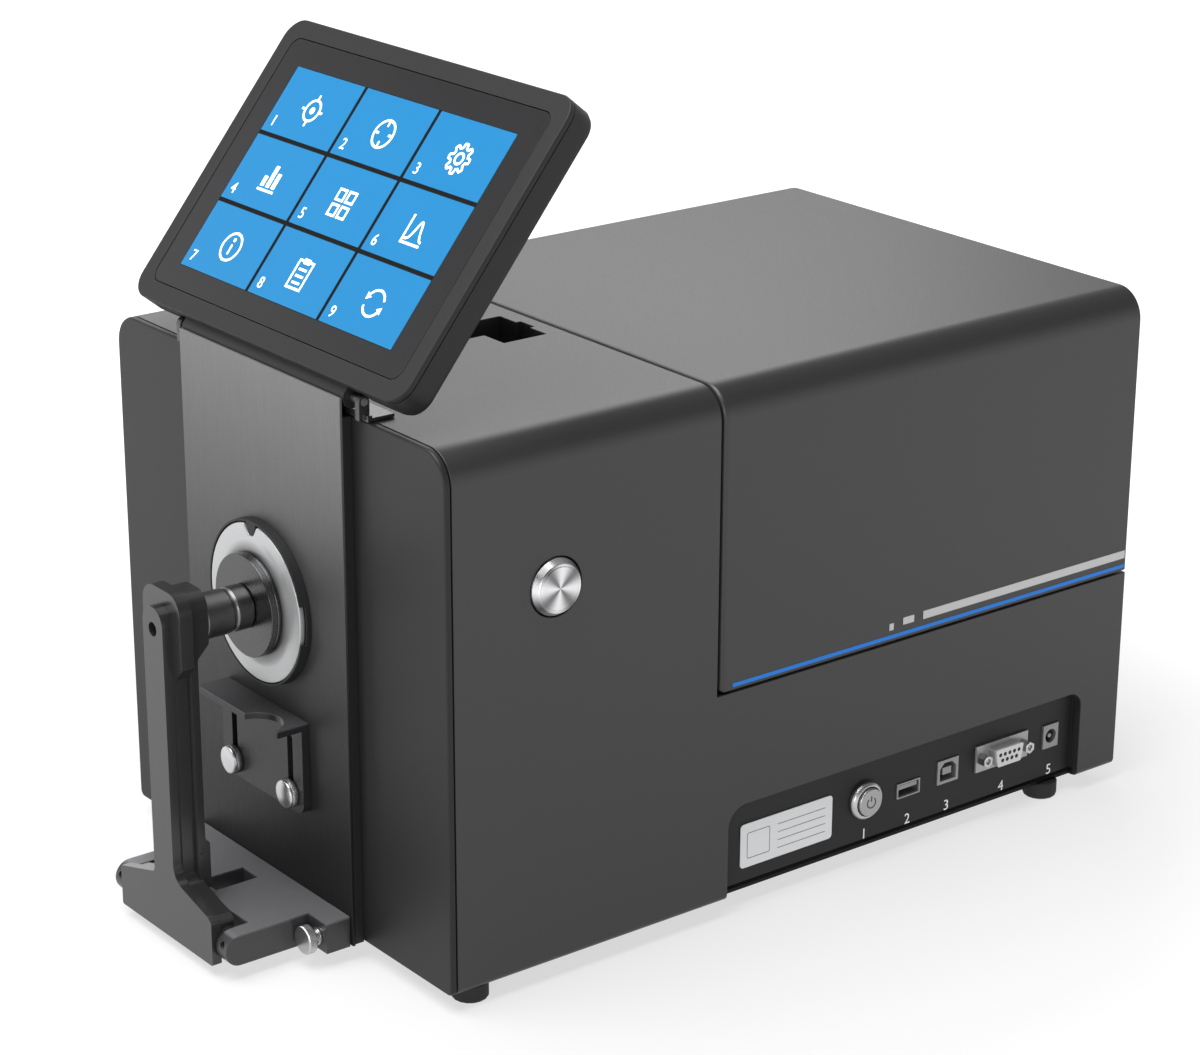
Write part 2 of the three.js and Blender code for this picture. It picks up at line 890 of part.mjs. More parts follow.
function spherePortTube() {
  const end = spherePlace - Math.sqrt(sphereRadius ** 2 - portTubeBore ** 2) - runGap;
  const start = maskBack + seatGap;
  const profile = [
    [portTubeBore, start],
    [portTubeRadius, start],
    [portTubeRadius, end],
    [portTubeBore, end],
    [portTubeBore, start],
  ];
  return turned("y", port, profile);
}

function sphereStand() {
  const half = standWidth / 2;
  const top = axisLevel - sphereRadius + standReach;
  const along = around(spherePlace, standDepth / 2);
  const post = block([-half, half], along, [trayTop + seatGap, top]);
  const windowTop = trayTop + (top - trayTop) * standWindowShare;
  const across = around(0, half * standWindowShare);
  const window = block(across, [0, seamPlace], [trayTop + wall, windowTop]);
  return cut(post, [window, ball(sphereRadius + runGap), sphereFlange(runGap)]);
}

function lampAxis() {
  return [spherePlace + lampShift, axisLevel];
}

function lampHousing() {
  const [y, z] = lampAxis();
  const edge = lampShift + lampRadius;
  const start = -Math.sqrt(sphereRadius ** 2 - edge ** 2);
  const end = lampMargin + lampHeadLength - innerHalf;
  const tube = rod("x", [y, z], lampRadius, [end, start], roundSteps);
  const half = lampHeadSize / 2;
  const across = [end - lampHeadLength, end + seatGap];
  const head = block(across, around(y, half), around(z, half));
  return cut(tube.add(head), [ball(sphereRadius + runGap), sphereFlange(runGap)]);
}

function opticHead() {
  const half = opticHeadWidth / 2;
  const start = spherePlace + sphereRadius - sphereWall;
  const end = seamPlace - bulkheadThickness - seatGap;
  const foot = trayTop + spectrometerHeight + 2 * seatGap;
  const body = block([-half, half], [start, end], [foot, axisLevel + opticHeadRise]);
  const bore = rod("y", port, rearPortRadius, [0, seamPlace], roundSteps);
  return cut(body, [ball(sphereRadius + runGap), bore]);
}

function spectrometerModule() {
  const half = spectrometerWidth / 2;
  const end = seamPlace - bulkheadThickness - wall;
  const along = [end - spectrometerDepth, end];
  const foot = trayTop + seatGap;
  const shape = rectangle([-half, half], along, spectrometerRound);
  return prism(shape, "z", [foot, foot + spectrometerHeight]);
}

// Transmission compartment

function transmissionLamp() {
  const half = lampBoxWidth / 2;
  const along = [lampBoxPlace, lampBoxPlace + lampBoxDepth];
  const foot = deckTop + seatGap;
  const shape = rectangle([-half, half], along, lampBoxRound);
  const box = prism(shape, "z", [foot, foot + lampBoxHeight]);
  const front = lampBoxPlace - collimatorLength;
  const tube = rod("y", port, collimatorRadius, [front, lampBoxPlace + overrun], roundSteps);
  const mouth = [front - overrun, front + collimatorDepth];
  return cut(box.add(tube), [rod("y", port, collimatorBore, mouth, roundSteps)]);
}

function collimatorLens() {
  const front = lampBoxPlace - collimatorLength + lensInset;
  const radius = collimatorBore - seatGap;
  const rim = front + lensBulge;
  const profile = [
    [0, front],
    [radius / 2, front + lensBulge / 4],
    [radius, rim],
    [radius, rim + lensThickness],
    [0, rim + lensThickness],
  ];
  return turned("y", port, profile);
}

function sampleHolder() {
  const half = holderWidth / 2;
  const foot = deckTop + seatGap;
  const floor = foot + holderPlate;
  const end = holderPlace + holderDepth;
  const base = block([-half, half], [holderPlace, end], [foot, floor]);
  const back = [holderPlace, holderPlace + holderPlate];
  const upright = block([-half, half], back, [foot, axisLevel + holderRise]);
  const guides = [-1, 1].map((side) => {
    const near = holderGap / 2;
    const across = between(side * near, side * (near + holderPlate));
    return block(across, [holderPlace, end - holderPlate], [foot, floor + holderGuideHeight]);
  });
  const window = rod("y", port, windowRadius, [holderPlace - overrun, end], roundSteps);
  return cut(join([base, upright, ...guides]), [window]);
}

// Boards

function mainBoard() {
  const level = trayTop + boardRise;
  const top = level + boardThickness;
  const end = bodyDepth - boardRearMargin;
  const left = boardLeftMargin - innerHalf;
  const right = socketBack - boardSocketGap;
  const board = block([left, right], [boardPlace, end], [level, top]);
  const pillars = [left + pillarInset, right - pillarInset].flatMap((x) =>
    [boardPlace + pillarInset, end - pillarInset].map((y) =>
      rod("z", [x, y], pillarRadius, [trayTop + seatGap, top]),
    ),
  );
  const chips = Array.from({ length: chipCount }, (_, i) => {
    const place = boardPlace + ((end - boardPlace) * (i + 1 / 2)) / chipCount;
    const across = around((left + right) / 2, chipSize / 2);
    return block(across, around(place, chipSize / 2), [level, top + chipHeight]);
  });
  return join([board, ...pillars, ...chips]);
}

function socketBoard() {
  const outside = socketBack - seatGap;
  const foot = trayTop + seatGap;
  const along = [socketBoardPlace, bayEnd - socketBoardMargin];
  return block([outside - boardThickness, outside], along, [foot, foot + socketBoardHeight]);
}

// Socket bay

// A block round a socket's centre, as wide and high as given and grown by a
// clearance on every side.
function socketBlock([place, level], width, height, grow, across) {
  return block(across, around(place, width / 2 + grow), around(level, height / 2 + grow));
}

function socketCentre(place, height) {
  return [place, bodyFoot + socketFoot + height / 2];
}

const usbACentre = socketCentre(usbAPlace, usbAHeight);
const usbBCentre = socketCentre(usbBPlace, usbBHeight);
const serialCentre = [serialPlace, serialLevel];
const dcCentre = socketCentre(dcPlace, dcHeight);
const switchCentre = [switchPlace, switchHeight];

function portPlate() {
  const inside = bayFloor - bayPlateThickness;
  const along = [bayStart - bayPlateMargin, bayEnd + bayPlateMargin];
  const level = [trayTop + seatGap, bodyFoot + bayHeight + bayPlateMargin];
  const blank = block([inside, innerHalf - seatGap], along, level);
  const hollow = prism(bayOutline(), "x", [bayFloor, bodyHalf]);
  const through = [inside - overrun, bodyHalf];
  const serialWindow = serialShellWidth + serialScrewSpacing / 2;
  return cut(blank, [
    hollow,
    rod("x", switchCentre, switchBodyRadius + socketFit, through),
    socketBlock(usbACentre, usbAWidth, usbAHeight, socketFit, through),
    socketBlock(usbBCentre, usbBWidth, usbBHeight, socketFit, through),
    socketBlock(serialCentre, serialWindow, serialShellHeight, socketFit, through),
    socketBlock(dcCentre, dcWidth, dcHeight, socketFit, through),
  ]);
}

function ratingLabel() {
  const foot = bodyFoot + labelFoot;
  const along = [labelPlace, labelPlace + bayLength * labelWidthShare];
  const shape = rectangle(along, [foot, foot + labelHeight], labelRound);
  return prism(shape, "x", [socketSeat, socketSeat + labelThickness]);
}

function powerSwitchBody() {
  const front = socketSeat + switchProud;
  const bore = powerButtonRadius + runGap;
  const sink = front - powerButtonStem - powerTravel;
  const profile = [
    [0, socketBack],
    [switchBodyRadius, socketBack],
    [switchBodyRadius, socketSeat],
    [switchRadius, socketSeat],
    [switchRadius, front - switchEdge],
    [switchRadius - switchEdge, front],
    [bore, front],
    [bore, sink],
    [0, sink],
  ];
  return turned("x", switchCentre, profile);
}

function powerButton() {
  const rim = socketSeat + switchProud;
  const front = rim + powerButtonProud;
  const back = rim - powerButtonStem + runGap;
  const profile = [
    [0, back],
    [powerButtonRadius, back],
    [powerButtonRadius, front - powerButtonEdge],
    [powerButtonRadius - powerButtonEdge, front],
    [0, front],
  ];
  return turned("x", switchCentre, profile);
}

function usbASocket() {
  const front = bayFloor + usbProud;
  const floor = front - socketHollow;
  const body = socketBlock(usbACentre, usbAWidth, usbAHeight, 0, [socketBack, front]);
  const mouth = [floor, front + overrun];
  const hollow = socketBlock(usbACentre, usbAWidth, usbAHeight, -shellWall, mouth);
  const [widthShare, heightShare] = usbATongueShares;
  const [place, level] = usbACentre;
  const tongue = socketBlock(
    [place, level + (usbAHeight * (1 - heightShare)) / 4],
    usbAWidth * widthShare,
    usbAHeight * heightShare,
    0,
    [floor - shellWall, front - shellWall],
  );
  return cut(body, [hollow]).add(tongue);
}

function usbBSocket() {
  const front = bayFloor + usbProud;
  const floor = front - socketHollow;
  const body = socketBlock(usbBCentre, usbBWidth, usbBHeight, 0, [socketBack, front]);
  const [place, level] = usbBCentre;
  const [y0, y1] = around(place, usbBWidth / 2 - 2 * shellWall);
  const [z0, z1] = around(level, usbBHeight / 2 - 2 * shellWall);
  const slope = usbBWidth * usbBSlopeShare;
  const shape = outline([
    [y0, z0, 0],
    [y1, z0, 0],
    [y1, z1 - slope, 0],
    [y1 - slope, z1, 0],
    [y0 + slope, z1, 0],
    [y0, z1 - slope, 0],
  ]);
  const hollow = prism(shape, "x", [floor, front + overrun]);
  const [widthShare, heightShare] = usbBTongueShares;
  const tongue = socketBlock(
    usbBCentre,
    usbBWidth * widthShare,
    usbBHeight * heightShare,
    0,
    [floor - shellWall, front - shellWall],
  );
  return cut(body, [hollow]).add(tongue);
}

function serialSocket() {
  const flangeFront = socketSeat + serialFlangeThickness;
  const front = socketSeat + serialProud;
  const flange = socketBlock(
    serialCentre,
    serialFlangeWidth,
    serialFlangeHeight,
    0,
    [socketSeat, flangeFront],
  );
  const tail = socketBlock(
    serialCentre,
    serialShellWidth,
    serialShellHeight,
    0,
    [socketBack, flangeFront],
  );
  const [y0, y1] = around(serialPlace, serialShellWidth / 2);
  const [z0, z1] = around(serialLevel, serialShellHeight / 2);
  const slope = serialShellHeight * serialShellSlopeShare;
  const shape = outline([
    [y0 + slope, z0, serialShellRound],
    [y1 - slope, z0, serialShellRound],
    [y1, z1, serialShellRound],
    [y0, z1, serialShellRound],
  ]);
  const shell = prism(shape, "x", [socketSeat, front]);
  const bores = [-1, 1].map((side) => {
    const centre = [serialPlace + (side * serialScrewSpacing) / 2, serialLevel];
    return rod("x", centre, serialStemRadius + socketFit, [socketBack, front]);
  });
  const pins = serialPinRows.flatMap((count, row) =>
    Array.from({ length: count }, (_, i) => {
      const y = serialPlace + (i - (count - 1) / 2) * serialPinPitch;
      const z = serialLevel + (1 / 2 - row) * serialPinPitch;
      const depth = [front - serialPinDepth, front + overrun];
      return rod("x", [y, z], serialPinRadius, depth, serialPinSides);
    }),
  );
  return cut(join([flange, tail, shell]), [...bores, ...pins]);
}

function serialJackscrew(side) {
  const back = socketSeat + serialFlangeThickness + seatGap;
  const front = back + serialScrewLength;
  const centre = [serialPlace + (side * serialScrewSpacing) / 2, serialLevel];
  const hex = rod("x", centre, serialScrewRadius, [back, front], 6);
  const stem = rod("x", centre, serialStemRadius, [bayFloor - bayPlateThickness, front - overrun]);
  const mouth = [front - serialScrewBoreDepth, front + overrun];
  return cut(hex.add(stem), [rod("x", centre, serialStemRadius, mouth)]);
}

function dcSocket() {
  const front = bayFloor + dcProud;
  const floor = front - dcDepth;
  const body = socketBlock(dcCentre, dcWidth, dcHeight, 0, [socketBack, front]);
  const bore = rod("x", dcCentre, dcBoreRadius, [floor, front + overrun]);
  const pin = rod("x", dcCentre, dcPinRadius, [floor - shellWall, front - shellWall]);
  return cut(body, [bore]).add(pin);
}

// Test button

const testCentre = [testPlace, bodyFoot + testLevel];

function testButton() {
  const rim = bodyHalf - testRimDepth;
  const back = rim - testStemLength;
  const profile = [
    [0, back],
    [testStemRadius, back],
    [testStemRadius, rim],
    [testRadius, rim],
    [testRadius, bodyHalf],
    [testFaceRadius, bodyHalf + testProud],
    [0, bodyHalf + testProud],
  ];
  return turned("x", testCentre, profile);
}

function testSwitch() {
  const front = innerHalf - seatGap;
  const flangeBack = front - testSwitchFlangeDepth;
  const rimRoom = bodyHalf - testRimDepth - testTravel - runGap;
  const stemRoom = rimRoom - testStemLength;
  const rimBore = testRadius + testGap;
  const stemBore = testStemRadius + runGap;
  const back = front - testSwitchLength;
  const profile = [
    [0, back],
    [testSwitchRadius, back],
    [testSwitchRadius, flangeBack],
    [testSwitchFlange, flangeBack],
    [testSwitchFlange, front],
    [rimBore, front],
    [rimBore, rimRoom],
    [stemBore, rimRoom],
    [stemBore, stemRoom],
    [0, stemRoom],
  ];
  return turned("x", testCentre, profile);
}

// Display, drawn lying in its own group: +Y up its face, +Z out of it, with
// the hinge axis at the origin

const display = new THREE.Group();
display.name = "display";
display.position.set(0, hingePlace, hingeLevel);
display.rotation.x = THREE.MathUtils.degToRad(displayTilt);
root.add(display);

const displayBack = displayFront - displayThickness;
const bezelBack = displayFront - bezelThickness;
const glassFront = displayFront - glassSink;
const glassBack = glassFront - glassThickness;
const lcdBack = glassBack - seatGap - lcdThickness;

// The display's outline pulled in on all four sides.
function displayOutline(inset, round) {
  const across = around(0, displayHalfWidth - inset);
  const along = [displayStart + inset, displayStart + displayHeight - inset];
  return rectangle(across, along, round);
}

function displayBackCover() {
  const split = bezelBack - seatGap;
  const blank = [displayBack, split + displayBackEdge];
  const tray = prism(displayOutline(0, displayRound), "z", blank, displayBackEdge);
  const inside = displayOutline(displayWall, displayRound - displayWall);
  const hollow = prism(inside, "z", [displayBack + displayWall, displayFront]);
  const wide = [-bodyWidth, bodyWidth];
  const above = block(wide, wide, [split, displayFront + displayBackEdge]);
  const across = [-hingeHalfLength, hingeHalfLength];
  const barrel = rod("x", [0, 0], hingeRadius, across, roundSteps);
  const neck = block(across, [0, displayStart + hingeNeckDepth], [displayBack / 2, hingeRadius]);
  const bore = rod("x", [0, 0], hingePinRadius + hingePinFit, around(0, bodyHalf));
  const shell = cut(tray, [hollow, above]);
  const earRoom = hingeEarRadius + hingeEarRoom;
  const reliefs = [-1, 1].map((side) => {
    const near = hingeEarPlace - hingeEarRoom;
    const far = hingeEarPlace + hingeEarWidth + hingeEarRoom;
    const across = between(side * near, side * far);
    return block(across, [0, earRoom], [displayBack - overrun, earRoom]);
  });
  return cut(join([shell, barrel, cut(neck, [hollow])]), [bore, ...reliefs]);
}

function displayBezel() {
  const plate = prism(displayOutline(0, displayRound), "z", [bezelBack, displayFront], bezelEdge);
  const opening = displayOutline(glassInset - glassGap, glassRound + glassGap);
  return cut(plate, [prism(opening, "z", [bezelBack - overrun, displayFront + overrun])]);
}

function displayGlass() {
  return prism(displayOutline(glassInset, glassRound), "z", [glassBack, glassFront]);
}

function lcdModule() {
  const front = glassBack - seatGap;
  return prism(displayOutline(glassInset + lcdInset, 0), "z", [lcdBack, front]);
}

function displayBoard() {
  const front = lcdBack - seatGap;
  const face = displayOutline(glassInset + displayBoardInset, 0);
  return prism(face, "z", [front - boardThickness, front]);
}

function hingeBracket() {
  const far = hingeEarPlace + hingeEarWidth;
  const foot = bodyTop + seatGap;
  const wide = around(0, hingeFootHalfLength);
  const plate = block(wide, [0, hingeFootDepth], [foot, foot + hingeFootThickness]);
  const strip = block(wide, [0, hingeStripDepth], [foot, foot + hingeStripHeight]);
  const centre = [hingePlace, hingeLevel];
  const ears = [-1, 1].map((side) => {
    const across = between(side * hingeEarPlace, side * far);
    const eye = rod("x", centre, hingeEarRadius, across);
    return eye.add(block(across, around(hingePlace, hingeEarRadius), [foot, hingeLevel]));
  });
  const bore = rod("x", centre, hingePinRadius + seatGap, around(0, bodyHalf));
  return cut(join([plate, strip, ...ears]), [bore]);
}

function hingePin() {
  return rod("x", [hingePlace, hingeLevel], hingePinRadius, around(0, hingeEarPlace + hingeEarWidth));
}

// Specimen shelf

function specimenShelf() {
  const foot = bodyFoot + shelfFoot;
  const top = bodyFoot + shelfTop;
  const across = [-shelfHalfWidth, shelfHalfWidth];
  const face = outline([
    [-shelfHalfWidth, foot, shelfRound],
    [shelfHalfWidth, foot, shelfRound],
    [shelfHalfWidth, top, 0],
    [-shelfHalfWidth, top, 0],
  ]);
  const slotFoot = studHeight - slotWidth / 2;
  const slots = [-1, 1].map((side) => {
    const half = slotWidth / 2;
    const stretch = around((side * slotSpacing) / 2, half);
    const shape = rectangle(stretch, [slotFoot, bodyFoot + slotEnd], half * slotRoundShare);
    return prism(shape, "y", [shelfFront - overrun, fixtureBack + overrun]);
  });
  const edge = fixtureBack - shelfReach;
  const level = [top - ledgeThickness, top];
  const scoopLevel = [top - ledgeThickness - overrun, top + overrun];
  const centre = [scoopPlace, edge - scoopOut];
  const scoop = rod("z", centre, scoopRadius, scoopLevel, roundSteps);
  const ledge = cut(block(across, [edge, fixtureBack], level), [scoop]);
  return cut(prism(face, "y", [shelfFront, fixtureBack]), slots).add(ledge);
}

function shelfStud(side) {
  const centre = [(side * slotSpacing) / 2, studHeight];
  return rod("y", centre, studRadius, [nutFront + nutCap + runGap, -2 * seatGap]);
}

function shelfNut(side) {
  const centre = [(side * slotSpacing) / 2, studHeight];
  const back = shelfFront - seatGap;
  const body = prism(knurl(centre, nutRadius), "y", [nutFront, back], nutEdge, 1);
  return cut(body, [rod("y", centre, studRadius + seatGap, [nutFront + nutCap, 0])]);
}

// Clamp base and its thumbscrews

function clampBase() {
  const foot = bodyFoot - baseDrop;
  const level = [foot, foot + baseThickness];
  const noseRadius = baseThickness / 2;
  const nose = [-armAxisPlace, foot + noseRadius];
  const ears = block([-earHalfWidth, earHalfWidth], [fixtureBack - earReach, fixtureBack], level);
  const reach = [fixtureBack - baseMiddleReach, fixtureBack];
  const middle = block([-cheekOuter, cheekOuter], reach, level);
  const cheeks = [-1, 1].map((side) => {
    const across = between(side * cheekInner, side * cheekOuter);
    const bar = block(across, [-armAxisPlace, fixtureBack], level);
    return bar.add(rod("x", nose, noseRadius, across, roundSteps));
  });
  const pinHole = [-cheekOuter - overrun, cheekOuter - cheekBlind];
  const pin = rod("x", armAxis, armPinRadius + seatGap, pinHole);
  const tip = -armAxisPlace - noseRadius;
  const screws = [-1, 1].map((side) => {
    const centre = [(side * (cheekInner + cheekOuter)) / 2, foot + noseRadius + cheekScrewRise];
    return rod("y", centre, cheekScrewRadius, [tip - overrun, tip + cheekScrewDepth]);
  });
  const slot = block(
    [-baseSlotLeft, baseSlotRight],
    [fixtureBack - baseSlotEnd, fixtureBack - baseSlotStart],
    [foot - overrun, foot + baseThickness + overrun],
  );
  const bores = thumbBores([fixtureBack - earReach - overrun, 0]);
  return cut(join([ears, middle, ...cheeks]), [pin, slot, ...screws, ...bores]);
}

function baseThumbscrew(side) {
  const seat = fixtureBack - earReach - seatGap;
  const neckEnd = seat - thumbNeckLength;
  const centre = [side * thumbPlace, thumbHeight];
  const head = prism(
    knurl(centre, thumbRadius),
    "y",
    [neckEnd - thumbHeadLength, neckEnd],
    nutEdge,
    1,
  );
  const neck = rod("y", centre, thumbNeckRadius, [neckEnd - nutEdge, seat]);
  const shank = rod("y", centre, thumbShankRadius, [neckEnd, seat + thumbShankLength]);
  return join([head, neck, shank]);
}

function clampHingePin() {
  const across = [-cheekOuter + seatGap, cheekOuter - cheekBlind - seatGap];
  return rod("x", armAxis, armPinRadius, across);
}

// Clamp arm

function armFootOutline(inset) {
  const half = armFootHalfWidth - inset;
  const foot = bodyFoot - armFootDrop + inset;
  const left = bodyFoot + shoulderLeft - inset;
  const leftTop = bodyFoot + shoulderLeftTop - inset;
  const right = bodyFoot + shoulderRight - inset;
  const corner = bodyFoot + slopeFoot - inset;
  const top = bodyFoot + slopeTop - inset;
  return outline([
    [-half, foot, armFootRound],
    [half, foot, armFootRound],
    [half, right, armFootRound],
    [slopeEnd - inset, corner, shoulderRound],
    [armBarHalfWidth, top, neckRoundRight],
    [armBarHalfWidth, top + neckRise, 0],
    [-armBarHalfWidth, top + neckRise, 0],
    [-armBarHalfWidth, leftTop, neckRoundLeft],
    [-half, left, armFootRound],
  ]);
}

function armPlateOutline(foot) {
  const top = bodyFoot + armPlateTop;
  const head = bodyFoot + armHeadFoot;
  const slope = head - (armPlateHalfWidth - armWaistHalfWidth);
  return outline([
    [-armWaistHalfWidth, foot, 0],
    [armWaistHalfWidth, foot, 0],
    [armWaistHalfWidth, slope, 0],
    [armPlateHalfWidth, head, 0],
    [armPlateHalfWidth, top, armHeadRound],
    [-armPlateHalfWidth, top, armHeadRound],
    [-armPlateHalfWidth, head, 0],
    [-armWaistHalfWidth, slope, 0],
  ]);
}

function clampArm() {
  const across = [-armBarHalfWidth, armBarHalfWidth];
  const barLevel = [bodyFoot + slopeTop + neckRise / 2, bodyFoot + armBarTop];
  const barRound = armBarHalfWidth * armBarRoundShare;
  const barShape = outline([
    [across[0], barLevel[0], 0],
    [across[1], barLevel[0], 0],
    [across[1], barLevel[1], barRound],
    [across[0], barLevel[1], barRound],
  ]);
  const bar = prism(barShape, "y", [armFace, armBarBack]);
  const footPlate = prism(armFootOutline(0), "y", [armFace, armFace + armFootThickness]);
  const webDepth = [armFace + armWebStart, armFace + armWebThickness];
  const webFoot = bodyFoot + armWebFoot;
  const under = block(
    [-bodyHalf, bodyHalf],
    [armFace + armFootThickness, 0],
    [0, webFoot],
  );
  const room = block(
    around(0, housingHalfWidth + runGap),
    [armPlateBack, 0],
    [bodyFoot + housingFoot - runGap, bodyTop],
  );
  const web = cut(prism(armFootOutline(armWebInset), "y", webDepth), [under, room]);
  const plate = prism(armPlateOutline(webFoot), "y", [armBarBack - armWebStart, armPlateBack]);
  const knuckle = rod("x", armAxis, knuckleRadius, around(0, cheekInner - runGap), roundSteps);
  const bore = rod("x", armAxis, armPinRadius + armPinFit, around(0, bodyHalf));
  const hole = rod("y", port, armHoleRadius, [armFace - overrun, armBarBack]);
  const guide = rod("y", port, plungerRodRadius + plungerRodFit, [armFace, 0]);
  return cut(join([bar, footPlate, web, plate, knuckle]), [bore, hole, guide]);
}

function clampHousing() {
  const foot = bodyFoot + housingFoot;
  const top = bodyFoot + housingTop;
  const head = bodyFoot + housingHeadFoot;
  const heelTop = bodyFoot + housingHeelTop;
  const heel = housingFront + housingHeelDepth;
  const bar = housingFront + housingBarDepth;
  const side = outline([
    [housingFront, foot, 0],
    [heel, foot, housingEdge],
    [heel, heelTop, housingEdge],
    [bar, heelTop + housingHeelDepth - housingBarDepth, housingEdge],
    [bar, head - housingSlope, housingEdge],
    [housingBack, head, housingEdge],
    [housingBack, top, 0],
    [housingFront, top, 0],
  ]);
  const across = [-housingHalfWidth, housingHalfWidth];
  const face = outline([
    [across[0], foot, 0],
    [across[1], foot, 0],
    [across[1], top, housingRound],
    [across[0], top, housingRound],
  ]);
  const keep = prism(face, "y", [housingFront - overrun, housingBack + overrun]);
  const along = [housingFront - overrun, housingBack + overrun];
  const bore = rod("y", port, plungerRadius + plungerFit, along, roundSteps);
  const dimple = rod(
    "x",
    [housingFront + dowelInset, bodyFoot + dowelLevel],
    dowelRadius,
    [housingHalfWidth - dowelSink, bodyHalf],
  );
  return cut(prism(side, "x", across).intersect(keep), [bore, dimple]);
}

function plungerShaft() {
  const front = discBack - seatGap;
  const profile = [
    [0, armBarBack],
    [plungerRodRadius, armBarBack],
    [plungerRodRadius, housingBack],
    [plungerRadius - plungerChamfer, housingBack],
    [plungerRadius, housingBack + plungerChamfer],
    [plungerRadius, front - plungerRound],
    [plungerRadius - plungerRound, front],
    [0, front],
  ];
  return turned("y", port, profile);
}

function clampDisc() {
  const profile = [
    [0, discBack],
    [hubRadius - discEdge, discBack],
    [hubRadius, discBack + discEdge],
    [hubRadius, discFront],
    [0, discFront],
  ];
  return turned("y", port, profile, fineSteps);
}

// The assembly

add("base_tray", baseTray(), blackMetal);
add("main_housing", mainHousing(), darkShell);
add("front_frame", frontFrame(), darkShell);
add("panel_backing", panelBacking(), blackPlastic);
add("front_panel", frontPanel(), satinPanel);
add("hood", hood(), darkShell);
add("hood_rail_left", hoodRail(-1), brushedMetal);
add("hood_rail_right", hoodRail(1), brushedMetal);
add("compartment_bulkhead", compartmentBulkhead(), blackPlastic);
add("compartment_deck", compartmentDeck(), blackPlastic);
add("foot_front_left", rubberFoot(-1, footFrontPlace), rubber);
add("foot_front_right", rubberFoot(1, footFrontPlace), rubber);
add("foot_rear_left", rubberFoot(-1, footRearPlace), rubber);
add("foot_rear_right", rubberFoot(1, footRearPlace), rubber);
add("bayonet_ring", bayonetRing(), blackPlastic);
add("aperture_mask", apertureMask(), lightPlate);
add("sphere_front_half", sphereFrontHalf(), whiteCoat);
add("sphere_rear_half", sphereRearHalf(), whiteCoat);
add("sphere_port_tube", spherePortTube(), whiteCoat);
add("sphere_stand", sphereStand(), castMetal);
add("lamp_housing", lampHousing(), castMetal);
add("optic_head", opticHead(), blackMetal);
add("spectrometer_module", spectrometerModule(), blackMetal);
add("transmission_lamp", transmissionLamp(), blackMetal);
add("collimator_lens", collimatorLens(), darkGlass);
add("sample_holder", sampleHolder(), blackMetal);
add("main_board", mainBoard(), boardGreen);
add("socket_board", socketBoard(), boardGreen);
add("port_plate", portPlate(), blackPlastic);
add("rating_label", ratingLabel(), labelStock);
add("power_switch_body", powerSwitchBody(), brushedMetal);
add("power_button", powerButton(), brightMetal);
add("usb_a_socket", usbASocket(), brushedMetal);
add("usb_b_socket", usbBSocket(), brushedMetal);
add("serial_socket", serialSocket(), brushedMetal);
add("serial_jackscrew_front", serialJackscrew(-1), brightMetal);
add("serial_jackscrew_rear", serialJackscrew(1), brightMetal);
add("dc_socket", dcSocket(), castMetal);
add("test_button", testButton(), brushedMetal);
add("test_switch", testSwitch(), blackPlastic);
add("hinge_bracket", hingeBracket(), blackMetal);
add("hinge_pin", hingePin(), brushedMetal);
add("display_back_cover", displayBackCover(), darkShell, display);
add("display_bezel", displayBezel(), darkShell, display);
add("display_glass", displayGlass(), darkGlass, display);
add("lcd_module", lcdModule(), blackPlastic, display);
add("display_board", displayBoard(), boardGreen, display);
add("specimen_shelf", specimenShelf(), blackMetal);
add("shelf_stud_left", shelfStud(-1), brushedMetal);
add("shelf_stud_right", shelfStud(1), brushedMetal);
add("shelf_nut_left", shelfNut(-1), brightMetal);
add("shelf_nut_right", shelfNut(1), brightMetal);
add("clamp_base", clampBase(), blackMetal);
add("base_thumbscrew_left", baseThumbscrew(-1), brightMetal);
add("base_thumbscrew_right", baseThumbscrew(1), brightMetal);
add("clamp_hinge_pin", clampHingePin(), brushedMetal);
add("clamp_arm", clampArm(), blackMetal);
add("clamp_housing", clampHousing(), blackMetal);
add("plunger_shaft", plungerShaft(), blackMetal);
add("clamp_disc", clampDisc(), brightMetal);

// The part's own frame has its origin at the middle of the base.
const whole = new THREE.Box3().setFromObject(root);
const middle = whole.getCenter(new THREE.Vector3());
root.position.set(-middle.x, -middle.y, -whole.min.z);

export default root;
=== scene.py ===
"""Dresses the solids of a benchtop spectrophotometer and sets its studio.

Lengths are metres in the part's own frame: +Z up, the measuring port faces
-Y and the sockets face +X. Drawing places are millimetres from the body's
middle, its front face and its foot, as on the part's drawing.
"""
import json
import math

import bmesh
import bpy
import numpy as np
from mathutils import Matrix, Vector


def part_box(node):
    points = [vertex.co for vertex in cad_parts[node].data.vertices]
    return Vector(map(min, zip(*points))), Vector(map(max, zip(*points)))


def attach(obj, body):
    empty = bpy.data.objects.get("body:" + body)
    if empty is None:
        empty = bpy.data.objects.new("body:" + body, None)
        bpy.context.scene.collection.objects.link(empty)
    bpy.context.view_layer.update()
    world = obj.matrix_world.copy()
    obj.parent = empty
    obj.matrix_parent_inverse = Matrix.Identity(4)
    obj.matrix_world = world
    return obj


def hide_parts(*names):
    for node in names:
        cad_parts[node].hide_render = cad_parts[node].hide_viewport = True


bl_info = {
    "name": "Benchtop spectrophotometer",
    "version": (1, 0, 0),
    "blender": (4, 5, 0),
    "location": "3D View > Sidebar > Instrument",
    "description": "Dresses the instrument's solids and sets its studio",
    "category": "Object",
}

